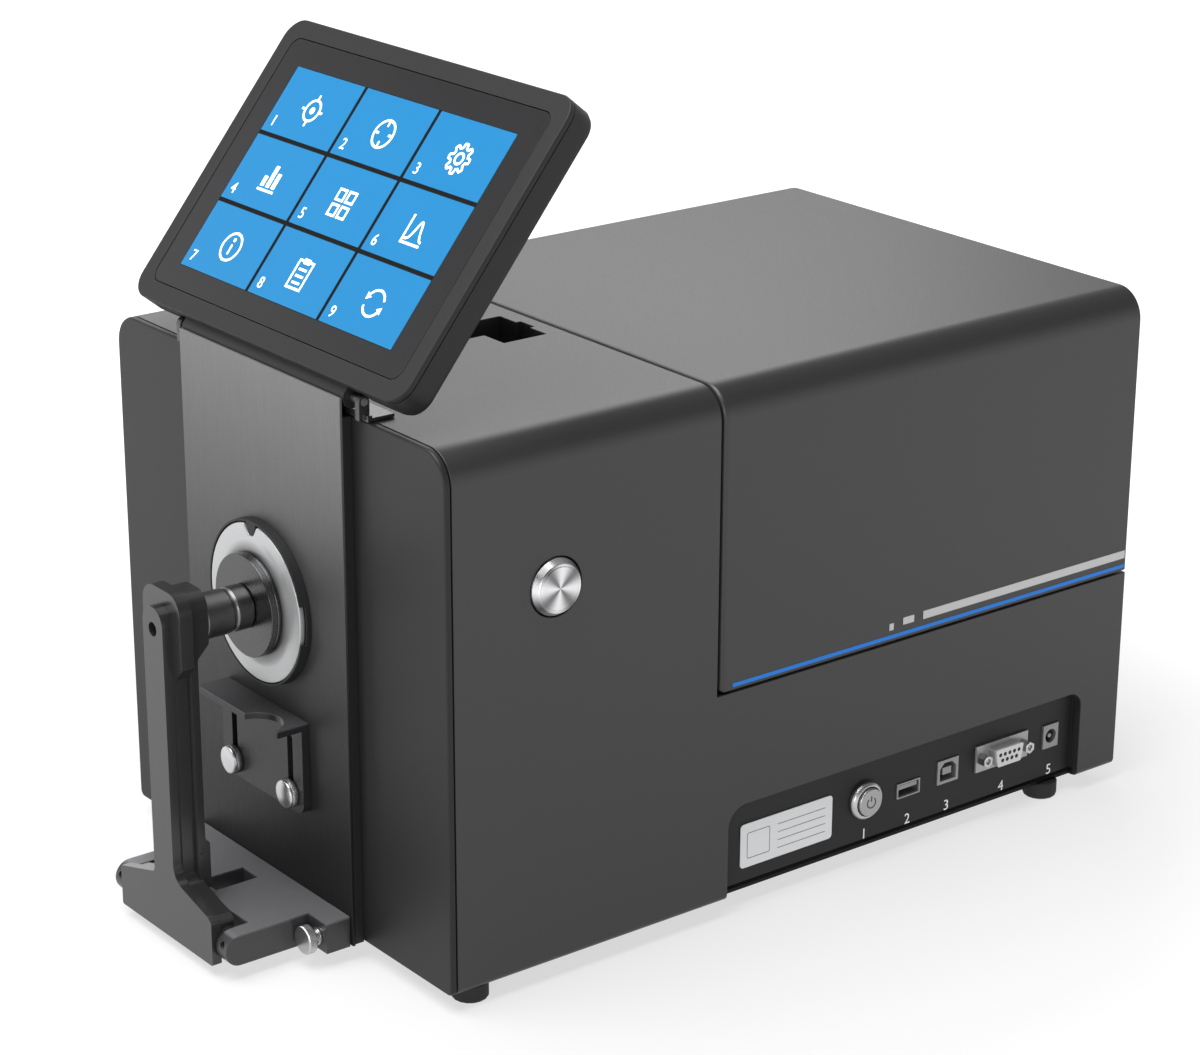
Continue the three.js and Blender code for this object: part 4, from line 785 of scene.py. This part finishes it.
class INSTRUMENT_OT_screen(bpy.types.Operator):
    """Make the screen's tiles, their signs and their numbers"""
    bl_idname = "instrument.screen"
    bl_label = "Screen"

    def execute(self, context):
        screen = context.scene.instrument_screen
        place = display_place()
        width, height, gap = screen.width / MM, screen.height / MM, screen.gap / MM
        cell = (width - 2 * gap) / 3, (height - 2 * gap) / 3
        starts = [(-width / 2 + i * (cell[0] + gap), SCREEN_FOOT + j * (cell[1] + gap))
                  for j in (2, 1, 0) for i in (0, 1, 2)]
        lit = self.lit("tile_blue", screen.tile, screen.glow)
        white = self.lit("sign_white", (0.85, 0.88, 0.9), screen.glow)
        back = finish("screen_black", (0.002, 0.002, 0.002), 0.6, grain=2.0, rough=0.02, bump=0, specular=0.1)
        border, rounding = 0.25, 0.25
        backing = plate(oblong(-width / 2 - border, width / 2 + border, SCREEN_FOOT - border,
                               SCREEN_FOOT + height + border), GLASS_FRONT, BACKING_FRONT)
        flat_piece("screen_backing", [backing], place, back, "display")
        tiles = [plate(oblong(u, u + cell[0], v, v + cell[1], rounding, 3), BACKING_FRONT, TILE_FRONT)
                 for u, v in starts]
        flat_piece("screen_tiles", tiles, place, lit, "display")
        signs = []
        for (u, v), sign in zip(starts, self.signs(screen.stroke / MM)):
            across, up = u + cell[0] / 2 + SIGN_SHIFT[0], v + cell[1] / 2 + SIGN_SHIFT[1]
            signs += [moved(part, across, up) for part in sign]
        flat_piece("screen_signs", signs, place, white, "display")
        numbers = [lettering(str(i + 1), 7.0, (u + NUMBER_PLACE, v + NUMBER_PLACE), TILE_FRONT, SIGN_FRONT)
                   for i, (u, v) in enumerate(starts)]
        flat_piece("screen_numbers", numbers, place, white, "display")
        return {"FINISHED"}

    def lit(self, name, colour, glow):
        """A finish that also gives off its own colour."""
        made = finish(name, colour, 0.35, grain=4.0, shade=0.03, cloud=0.03, rough=0.02, bump=0, specular=0.2)
        tree = made.node_tree
        shader = tree.nodes["Principled BSDF"]
        colour_link = shader.inputs["Base Color"].links[0].from_socket
        tree.links.new(colour_link, shader.inputs["Emission Color"])
        shader.inputs["Emission Strength"].default_value = glow
        return made

    def signs(self, stroke):
        """Plain signs for the nine tiles, drawn round (0, 0) in millimetres and then enlarged."""

        def line(*points):
            return ribbon(points, stroke, TILE_FRONT, SIGN_FRONT, False)

        def loop(points):
            return ribbon(points, stroke, TILE_FRONT, SIGN_FRONT, True)

        def patch(corners):
            return plate(corners, TILE_FRONT, SIGN_FRONT)

        def ring(radius):
            return loop(arc((0, 0), radius))

        def dot(radius, centre=(0, 0)):
            return patch(arc(centre, radius, steps=24))

        quarter = ways(around(4))
        target = [ring(3.9), dot(1.3)] + [line(3.4 * q, 5.9 * q) for q in quarter]
        dial = [ring(5.0)] + [line(2.7 * q, 4.9 * q) for q in quarter]
        angles = around(96)
        teeth = 4.6 + 0.75 * np.tanh(3 * np.cos(8 * angles))
        gear = [loop(teeth[:, None] * ways(angles)), ring(1.9)]
        bars = [line((-4.8, -4.6), (4.8, -4.6))]
        bars += [patch(oblong(u - 1.0, u + 1.0, -3.4, v)) for u, v in ((-3.2, 0.4), (0.0, 4.8), (3.2, 2.4))]
        squares = [loop(oblong(u - 1.9, u + 1.9, v - 1.9, v + 1.9)) for u in (-2.8, 2.8) for v in (-2.8, 2.8)]
        s = np.linspace(-4.2, 5.0, 40)
        hump = np.column_stack([s, -3.4 + 6.6 * np.exp(-((s - 0.8) / 1.9) ** 2)])
        curve = [line((-4.8, 5.0), (-4.8, -4.8), (5.2, -4.8)), line(*hump)]
        about = [ring(5.0), line((0, -2.8), (0, 0.9)), dot(0.75, (0, 2.6))]
        sheet = [loop(oblong(-3.9, 3.9, -5.2, 4.6)), patch(oblong(-1.8, 1.8, 3.6, 5.6))]
        sheet += [line((-2.2, v), (2.2, v)) for v in (1.6, -0.8, -3.2)]
        again = []
        for turn in (0.0, 180.0):
            again.append(line(*arc((0, 0), 4.6, turn + 20, turn + 150, 24)))
            out, along = ways(np.radians([turn + 150, turn + 240]))
            again.append(patch([6.1 * out, 4.6 * out + 2.2 * along, 3.1 * out]))
        drawn = (target, dial, gear, bars, squares, curve, about, sheet, again)
        enlarge = np.array([SIGN_SIZE, SIGN_SIZE, 1.0])
        return [[(points * enlarge, faces) for points, faces in sign] for sign in drawn]


class INSTRUMENT_OT_clamp(bpy.types.Operator):
    """Dress the clamp's base and arm, and turn its plunger and disc"""
    bl_idname = "instrument.clamp"
    bl_label = "Clamp"

    def execute(self, context):
        dark = context.scene.instrument_finish.black_metal
        # painted light: the base's top face is much lighter than its sides below it, as if lit from above
        painted_top_light = deep_colours("Z", high("clamp_base")[2], 1.0, tone(dark, 1.6), tone(dark, 5.6))
        satin = finish("base_satin_painted_top_light", dark, 0.36, grain=0.6, bump=0, base=painted_top_light)
        dressed("clamp_base", 0.5, satin, segments=3)
        for node in ("clamp_arm", "clamp_housing"):
            # painted light: the front face is a little lighter than the sides behind it, which are painted in
            # shade
            front = deep_colours("Y", low(node)[1], -1.6, dark, tone(dark, 1.1))
            satin = finish(node + "_satin", dark, 0.2, grain=0.8, bump=0, rough=0.02, specular=0.54,
                           base=front)
            dressed(node, 1.3, satin, segments=4)
        self.disc()
        self.plunger()
        return {"FINISHED"}

    def disc(self):
        """A turned disc whose back, edge and front meet in short curves, with a shallow ring in its edge."""
        _, depth, radius = turning("clamp_disc", "-y")
        ring = radius - 0.25
        rows = [(0, 0), (radius, 0), (radius, depth * 0.3), (ring, depth * 0.34), (ring, depth * 0.4),
                (radius, depth * 0.44), (radius, depth), (0, depth)]
        steel = finish("turned_disc", (0.08, 0.08, 0.082), 0.26, metallic=1.0, grain=0.5, shade=0.06,
                       rough=0.05, bump=0.01)
        turned_piece("clamp_disc", rounded(rows, 0.35), "-y", steel, 128)

    def plunger(self):
        """A turned shaft: a rounded end, a barrel with a groove, a chamfer to the housing and a thin rod."""
        centre, length, radius = turning("plunger_shaft", "-y")
        barrel = (centre[1] - high("clamp_housing")[1]) / MM
        groove, chamfer, rod = radius - 0.55, 1.3, 2.6
        rows = [(0, 0), (radius - 0.2, 0), (radius, 0.9), (radius, barrel * 0.32), (groove, barrel * 0.34),
                (groove, barrel * 0.4), (radius, barrel * 0.42), (radius, barrel - chamfer),
                (radius - chamfer, barrel), (rod, barrel), (rod, length), (0, length)]
        steel = finish("dark_steel", (0.17, 0.17, 0.173), 0.32, metallic=1.0, grain=0.6, shade=0.05,
                       rough=0.04, bump=0)
        turned_piece("plunger_shaft", rounded(rows, 0.4), "-y", steel)


class INSTRUMENT_OT_shelf(bpy.types.Operator):
    """Dress the specimen shelf and turn its two nuts"""
    bl_idname = "instrument.shelf"
    bl_label = "Specimen shelf"

    def execute(self, context):
        dark = context.scene.instrument_finish.black_metal
        # painted light: the shelf's top face is lighter than the sides below it, as if lit from above
        painted_top_light = deep_colours("Z", high("specimen_shelf")[2], 0.8, tone(dark, 0.8), tone(dark, 2.4))
        satin = finish("shelf_satin_painted_top_light", dark, 0.32, grain=0.6, bump=0, specular=0.28, base=painted_top_light)
        dressed("specimen_shelf", 0.25, satin)
        repainted("shelf_stud_left", "shelf_stud_right")
        for side in ("left", "right"):
            self.nut("shelf_nut_" + side)
        return {"FINISHED"}

    def nut(self, node):
        """A turned nut with a domed cap over a knurled band and a shallow bore in its back.

        The dome's height over the cap's foot is rise * (1 - (r / cap radius)^2).
        """
        _, depth, radius = turning(node, "-y")
        bore, bore_depth, soft = 2.2, 0.6, 0.3
        cap, cap_foot = radius - soft, depth * 0.78
        rise = depth - cap_foot
        band = [(cap, 0), (radius, soft), (radius, depth * 0.5)]
        rows = [(0, bore_depth), (bore, bore_depth), (bore, 0), *band, (radius - 0.35, depth * 0.54),
                (cap, depth * 0.6), (cap, cap_foot)]
        rows += [(cap * s, cap_foot + rise * (1 - s ** 2)) for s in np.linspace(1, 0, 9)[1:]]
        ridged = [row in band for row in rows]
        turned_piece(node, rows, "-y", finish_of(node), KNURL_STEPS, knurled(ridged))


class INSTRUMENT_OT_thumbscrews(bpy.types.Operator):
    """Turn the base's two thumbscrews"""
    bl_idname = "instrument.thumbscrews"
    bl_label = "Base thumbscrews"

    def execute(self, context):
        for side in ("left", "right"):
            self.screw("base_thumbscrew_" + side)
        return {"FINISHED"}

    def screw(self, node):
        """A turned screw: a shank, a collar with a groove, a neck and a knurled head."""
        _, length, radius = turning(node, "-y")
        shank, collar, groove, neck = 1.9, 3.6, 3.1, 3.0
        seat, head = length - 7.2, length - 4.0
        rows = [(0, 0), (shank - 0.4, 0), (shank, 0.4), (shank, seat), (collar, seat), (collar, seat + 0.8),
                (groove, seat + 1.0), (groove, seat + 1.5), (collar, seat + 1.7), (collar, seat + 2.3),
                (neck, seat + 2.5), (neck, head), (radius - 0.6, head), (radius, head + 0.5),
                (radius, length - 0.5), (radius - 0.5, length), (0, length)]
        soft = rounded(rows, 0.15, 3)
        ridged = (soft[:, 0] > radius - 0.2) & (soft[:, 1] > head)
        turned_piece(node, soft, "-y", finish_of(node), KNURL_STEPS, knurled(ridged))


class INSTRUMENT_OT_test_button(bpy.types.Operator):
    """Turn the test button, with painted highlights in soft sectors on its face"""
    bl_idname = "instrument.test_button"
    bl_label = "Test button"

    def execute(self, context):
        """A turned button: a stem, a wide rim, a shallow ring round its face, and the face."""
        _, length, radius = turning("test_button", "x")
        stem, face = 3.0, 8.5
        rim = length - 5.2
        rows = [(0, 0), (stem, 0), (stem, rim), (radius, rim), (radius, length - 2.8), (9.9, length - 0.3),
                (9.5, length - 0.05), (9.1, length - 0.25), (8.8, length - 0.25), (face, length), (0, length)]
        metal = context.scene.instrument_finish.bright_metal
        # painted highlights: light and dark sectors round the button's face stand in for the glints of its metal
        sectors = sector_colours("test_button", tone(metal, 0.3), tone(metal, 1.32), 4, 0.6)
        spun = finish("button_painted_highlights", metal, 0.3, metallic=0.85, grain=0.3, base=sectors)
        turned_piece("test_button", rounded(rows, 0.3, 3), "x", spun, 128)
        repainted("test_switch")
        return {"FINISHED"}


class INSTRUMENT_OT_socket_bay(bpy.types.Operator):
    """Dress the socket bay, its label, numbers and power sign"""
    bl_idname = "instrument.socket_bay"
    bl_label = "Socket bay"

    # Each socket's depth in millimetres to its darker inside, and its brightness inside and outside; the darker
    # inside is painted shade in the socket's mouth
    LOOKS = {
        "usb_a_socket": (1.2, 0.16, 0.3),
        "usb_b_socket": (1.2, 0.24, 0.28),
        "serial_socket": (1.6, 0.36, 0.58),
        "dc_socket": (2.0, 0.12, 0.26),
    }

    def execute(self, context):
        dressed("port_plate", 0.2)
        dressed("rating_label", 0.08)
        for node, (depth, inside, outside) in self.LOOKS.items():
            # painted shade: each socket turns darker past a depth behind its face, as in the shade inside its
            # mouth
            base = deep_colours("X", high(node)[0], depth, (inside,) * 3, (outside,) * 3)
            shell = finish(node.replace("_socket", "_shell"), (outside,) * 3, 0.32, metallic=0.5, grain=0.4,
                           base=base)
            dressed(node, 0.12, shell)
        for node in ("serial_jackscrew_front", "serial_jackscrew_rear"):
            dressed(node, 0.2)
        self.painted_hole_shade()
        self.switch()
        self.signs()
        return {"FINISHED"}

    def painted_hole_shade(self):
        """Nine dark discs, five over four, over the mouths of the serial socket's holes: painted shade inside the
        holes.
        """
        pitch, rise, radius = 2.76, 1.38, 0.92
        front = high("serial_socket")[0] / MM - ORIGIN[0]
        along, level = middle("serial_socket")[1:] / MM - ORIGIN[1:]
        places = [(along + (i - (count - 1) / 2) * pitch, level + up)
                  for count, up in ((5, rise), (4, -rise)) for i in range(count)]
        # painted shade: dark discs at the holes' mouths
        mouths = [plate(arc(place, radius, steps=20), front - 0.05, front + 0.02) for place in places]
        flat_piece("serial_hole_shades", mouths, side_place(), finish_of("port_plate"), "instrument_body")

    def switch(self):
        """The switch's dished bezel and its button, both turned."""
        _, depth, radius = turning("power_switch_body", "x")
        body, lip, mouth = 7.4, 6.8, 6.55
        rows = [(0, 0), (body, 0), (body, depth - 3.2), (radius, depth - 3.2), (radius, depth - 1.9),
                (radius - 0.5, depth - 0.9), (7.2, depth - 0.1), (lip, depth), (mouth, depth - 0.2),
                (mouth, depth - 6.0), (0, depth - 6.0)]
        turned_piece("power_switch_body", rounded(rows, 0.25, 3), "x", finish_of("power_button"))
        _, depth, _ = turning("power_button", "x")
        rows = [(0, 0), (6.2, 0), (6.2, depth - 0.5), (5.7, depth), (5.2, depth - 0.05), (0, depth - 0.12)]
        face = finish("button_face", (0.38, 0.38, 0.385), 0.34, metallic=0.9, grain=0.4, bump=0.02)
        turned_piece("power_button", rounded(rows, 0.25, 3), "x", face)

    def signs(self):
        """The numbers under the sockets, the power sign, and the label's four rules and empty square."""
        place = side_place()
        white = finish("caption_white", (0.8, 0.8, 0.8), 0.5, grain=2.0, bump=0)
        ink = finish("sign_ink", (0.03, 0.03, 0.033), 0.5, grain=2.0, bump=0)
        grey = finish("label_ink", (0.18, 0.18, 0.19), 0.6, grain=2.0, bump=0)
        numbers = [lettering(str(i + 1), 6.8, (y, SOCKET_NUMBER_HEIGHT), BAY_FLOOR + 0.01, BAY_FLOOR + 0.07)
                   for i, y in enumerate(SOCKET_PLACES)]
        flat_piece("socket_numbers", numbers, place, white, "instrument_body")
        front = high("power_button")[0] / MM - ORIGIN[0]
        along, up = POWER_SIGN_PLACE
        lines = (arc(POWER_SIGN_PLACE, 2.3, 130, 410, 32), [(along, up + 0.6), (along, up + 3.0)])
        sign = [ribbon(line, 0.55, front - 0.12, front - 0.02, False) for line in lines]
        flat_piece("power_sign", sign, place, ink, "power_push_button")
        label = high("rating_label")[0] / MM - ORIGIN[0]
        stroke, ink_front = 0.35, label + 0.03
        rules = [ribbon([(168.0, v), (194.0, v)], stroke, label, ink_front, False)
                 for v in (24.2, 20.6, 17.0, 13.4)]
        rules.append(ribbon(oblong(151.6, 163.6, 13.2, 24.6, 0.8), stroke, label, ink_front, True))
        flat_piece("label_rules", rules, place, grey, "instrument_body")


class INSTRUMENT_OT_stripes(bpy.types.Operator):
    """Lay the two stripes along the hood's side"""
    bl_idname = "instrument.stripes"
    bl_label = "Side stripes"

    def execute(self, context):
        place = side_place()
        blue = finish("stripe_blue", (0.012, 0.175, 0.62), 0.45, grain=1.0, bump=0, specular=0.2)
        silver = finish("stripe_silver", (0.46, 0.46, 0.46), 0.4, metallic=0.3, grain=1.0, bump=0)
        foot, top = SIDE_FACE + 0.01, SIDE_FACE + 0.12
        line = [plate(oblong(138.3, 360.8, 94.3, 95.9), foot, top)]
        flat_piece("stripe_line", line, place, blue, "rear_hood")
        band = [plate(oblong(*row), foot, top) for row in
                ((241.2, 360.8, 98.7, 102.3), (229.9, 236.0, 98.9, 102.0), (222.3, 224.6, 98.0, 101.0))]
        flat_piece("stripe_band", band, place, silver, "rear_hood")
        return {"FINISHED"}


class INSTRUMENT_OT_inside(bpy.types.Operator):
    """Give the inner solids their finishes"""
    bl_idname = "instrument.inside"
    bl_label = "Inner pieces"

    def execute(self, context):
        # painted shade: the tray under the body is near-black, darker than the shell, so the strip under the body
        # stays dark
        shade = finish("tray_painted_shade", (0.006, 0.006, 0.006), 0.6, grain=0.5, bump=0, specular=0.15)
        dressed("base_tray", 0, shade)
        repainted(*(node for node, solid in frame["nodes"].items() if not solid.hide_render))
        return {"FINISHED"}


class INSTRUMENT_OT_stage(bpy.types.Operator):
    """Set the floor, lights and camera"""
    bl_idname = "instrument.stage"
    bl_label = "Studio"

    def execute(self, context):
        stage = context.scene.instrument_stage
        self.floor(stage)
        self.sky(context, stage)
        self.light("top_light", stage.top, 1.6, (-0.1, -0.6, 1.85), (0, 0, 0.1))
        self.light("back_light", stage.back, 1.2, (-1.3, 0.8, 1.3), (0, 0.05, 0.25))
        self.light("left_light", stage.left, 0.9, (-1.5, -0.7, 0.6), (0, -0.15, 0.15))
        self.light("front_light", stage.front, 0.45, (1.15, -1.5, 0.5), (0, -0.15, 0.15))
        self.camera(context)
        return {"FINISHED"}

    def floor(self, stage):
        """A flat disc in metres: p(r, a) = r * (cos a, sin a), closed at its middle."""
        reach, steps = 30.0, 64
        rim = at_height(arc((0, 0), reach, steps=steps), 0)
        faces = [[0, 1 + i, 1 + (i + 1) % steps] for i in range(steps)]
        mesh = bpy.data.meshes.new("floor")
        mesh.from_pydata([(0, 0, 0), *rim.tolist()], [], faces)
        mesh.shade_smooth()
        paper = finish("floor_paper", stage.floor, 0.8, grain=30.0, shade=0.005, cloud=0.005, bump=0)
        tree = paper.node_tree
        shader = tree.nodes["Principled BSDF"]
        # painted shade: the floor gives off its own light, weaker near the object than far from it, so a darker
        # pool lies round the object
        shader.inputs["Emission Color"].default_value = (1, 1, 1, 1)
        away = distance_from(tree, object_place(tree))
        even = spread(tree, away, "Value", stage.glow, 1.0, 0.25, 0.62)
        join_nodes(tree, even, "Result", shader, "Emission Strength")
        mesh.materials.append(paper)
        floor = bpy.data.objects.new("floor", mesh)
        bpy.context.scene.collection.objects.link(floor)

    def sky(self, context, stage):
        """White at the horizon, falling to the sky's strength higher up."""
        world = bpy.data.worlds.new("studio")
        world.use_nodes = True
        tree = world.node_tree
        white = tree.nodes["Background"]
        white.inputs["Color"].default_value = (1, 1, 1, 1)
        coords = tree.nodes.new("ShaderNodeTexCoord")
        parts = tree.nodes.new("ShaderNodeSeparateXYZ")
        join_nodes(tree, coords, "Generated", parts, "Vector")
        even = spread(tree, parts, "Z", 1.0, stage.sky, 0.1, 0.42)
        join_nodes(tree, even, "Result", white, "Strength")
        context.scene.world = world

    def light(self, name, power, size, place, target):
        lamp = bpy.data.lights.new(name, "AREA")
        lamp.energy = power
        lamp.size = size
        holder = bpy.data.objects.new(name, lamp)
        holder.location = place
        aim = Vector(target) - Vector(place)
        holder.rotation_euler = aim.to_track_quat("-Z", "Y").to_euler()
        bpy.context.scene.collection.objects.link(holder)

    def camera(self, context):
        """The photograph's viewpoint, worked out from the body's box edges."""
        eye = bpy.data.cameras.new("viewpoint")
        eye.sensor_fit = "HORIZONTAL"
        eye.sensor_width = 36.0
        eye.lens = 97.97
        eye.shift_x = 0.0026
        eye.shift_y = 0.0194
        eye.clip_start = 0.05
        eye.clip_end = 200.0
        holder = bpy.data.objects.new("viewpoint", eye)
        right = Vector((0.61131596, 0.79138134, 0.00289396))
        up = Vector((-0.27826408, 0.21152363, 0.93692414))
        back = Vector((0.74085215, -0.57356196, 0.34952078))
        turn = Matrix((right, up, back)).transposed().to_4x4()
        holder.matrix_world = Matrix.Translation(Vector((1.0303, -0.7908, 0.6066))) @ turn
        context.scene.collection.objects.link(holder)
        context.scene.camera = holder
        context.scene.view_settings.view_transform = "Standard"


class INSTRUMENT_PT_panel(bpy.types.Panel):
    """Lists the steps that dress the instrument"""
    bl_idname = "INSTRUMENT_PT_panel"
    bl_label = "Spectrophotometer"
    bl_space_type = "VIEW_3D"
    bl_region_type = "UI"
    bl_category = "Instrument"

    def draw(self, context):
        column = self.layout.column()
        for group in (context.scene.instrument_finish, context.scene.instrument_screen,
                      context.scene.instrument_stage):
            for name in group.bl_rna.properties.keys():
                if name not in ("rna_type", "name"):
                    column.prop(group, name)
        for step in STEPS:
            column.operator(step.bl_idname)


STEPS = (
    INSTRUMENT_OT_body, INSTRUMENT_OT_front_panel, INSTRUMENT_OT_display, INSTRUMENT_OT_screen,
    INSTRUMENT_OT_clamp, INSTRUMENT_OT_shelf, INSTRUMENT_OT_thumbscrews, INSTRUMENT_OT_test_button,
    INSTRUMENT_OT_socket_bay, INSTRUMENT_OT_stripes, INSTRUMENT_OT_inside, INSTRUMENT_OT_stage,
)
SETTINGS = {
    "instrument_finish": FinishSettings,
    "instrument_screen": ScreenSettings,
    "instrument_stage": StageSettings,
}


def register():
    for group in SETTINGS.values():
        bpy.utils.register_class(group)
    for name, group in SETTINGS.items():
        setattr(bpy.types.Scene, name, bpy.props.PointerProperty(type=group))
    for step in STEPS:
        bpy.utils.register_class(step)
    bpy.utils.register_class(INSTRUMENT_PT_panel)


def unregister():
    bpy.utils.unregister_class(INSTRUMENT_PT_panel)
    for step in reversed(STEPS):
        bpy.utils.unregister_class(step)
    for name in SETTINGS:
        delattr(bpy.types.Scene, name)
    for group in reversed(list(SETTINGS.values())):
        bpy.utils.unregister_class(group)


def main():
    register()
    for step in STEPS:
        group, call = step.bl_idname.split(".")
        getattr(getattr(bpy.ops, group), call)()


if __name__ == "__main__":
    main()
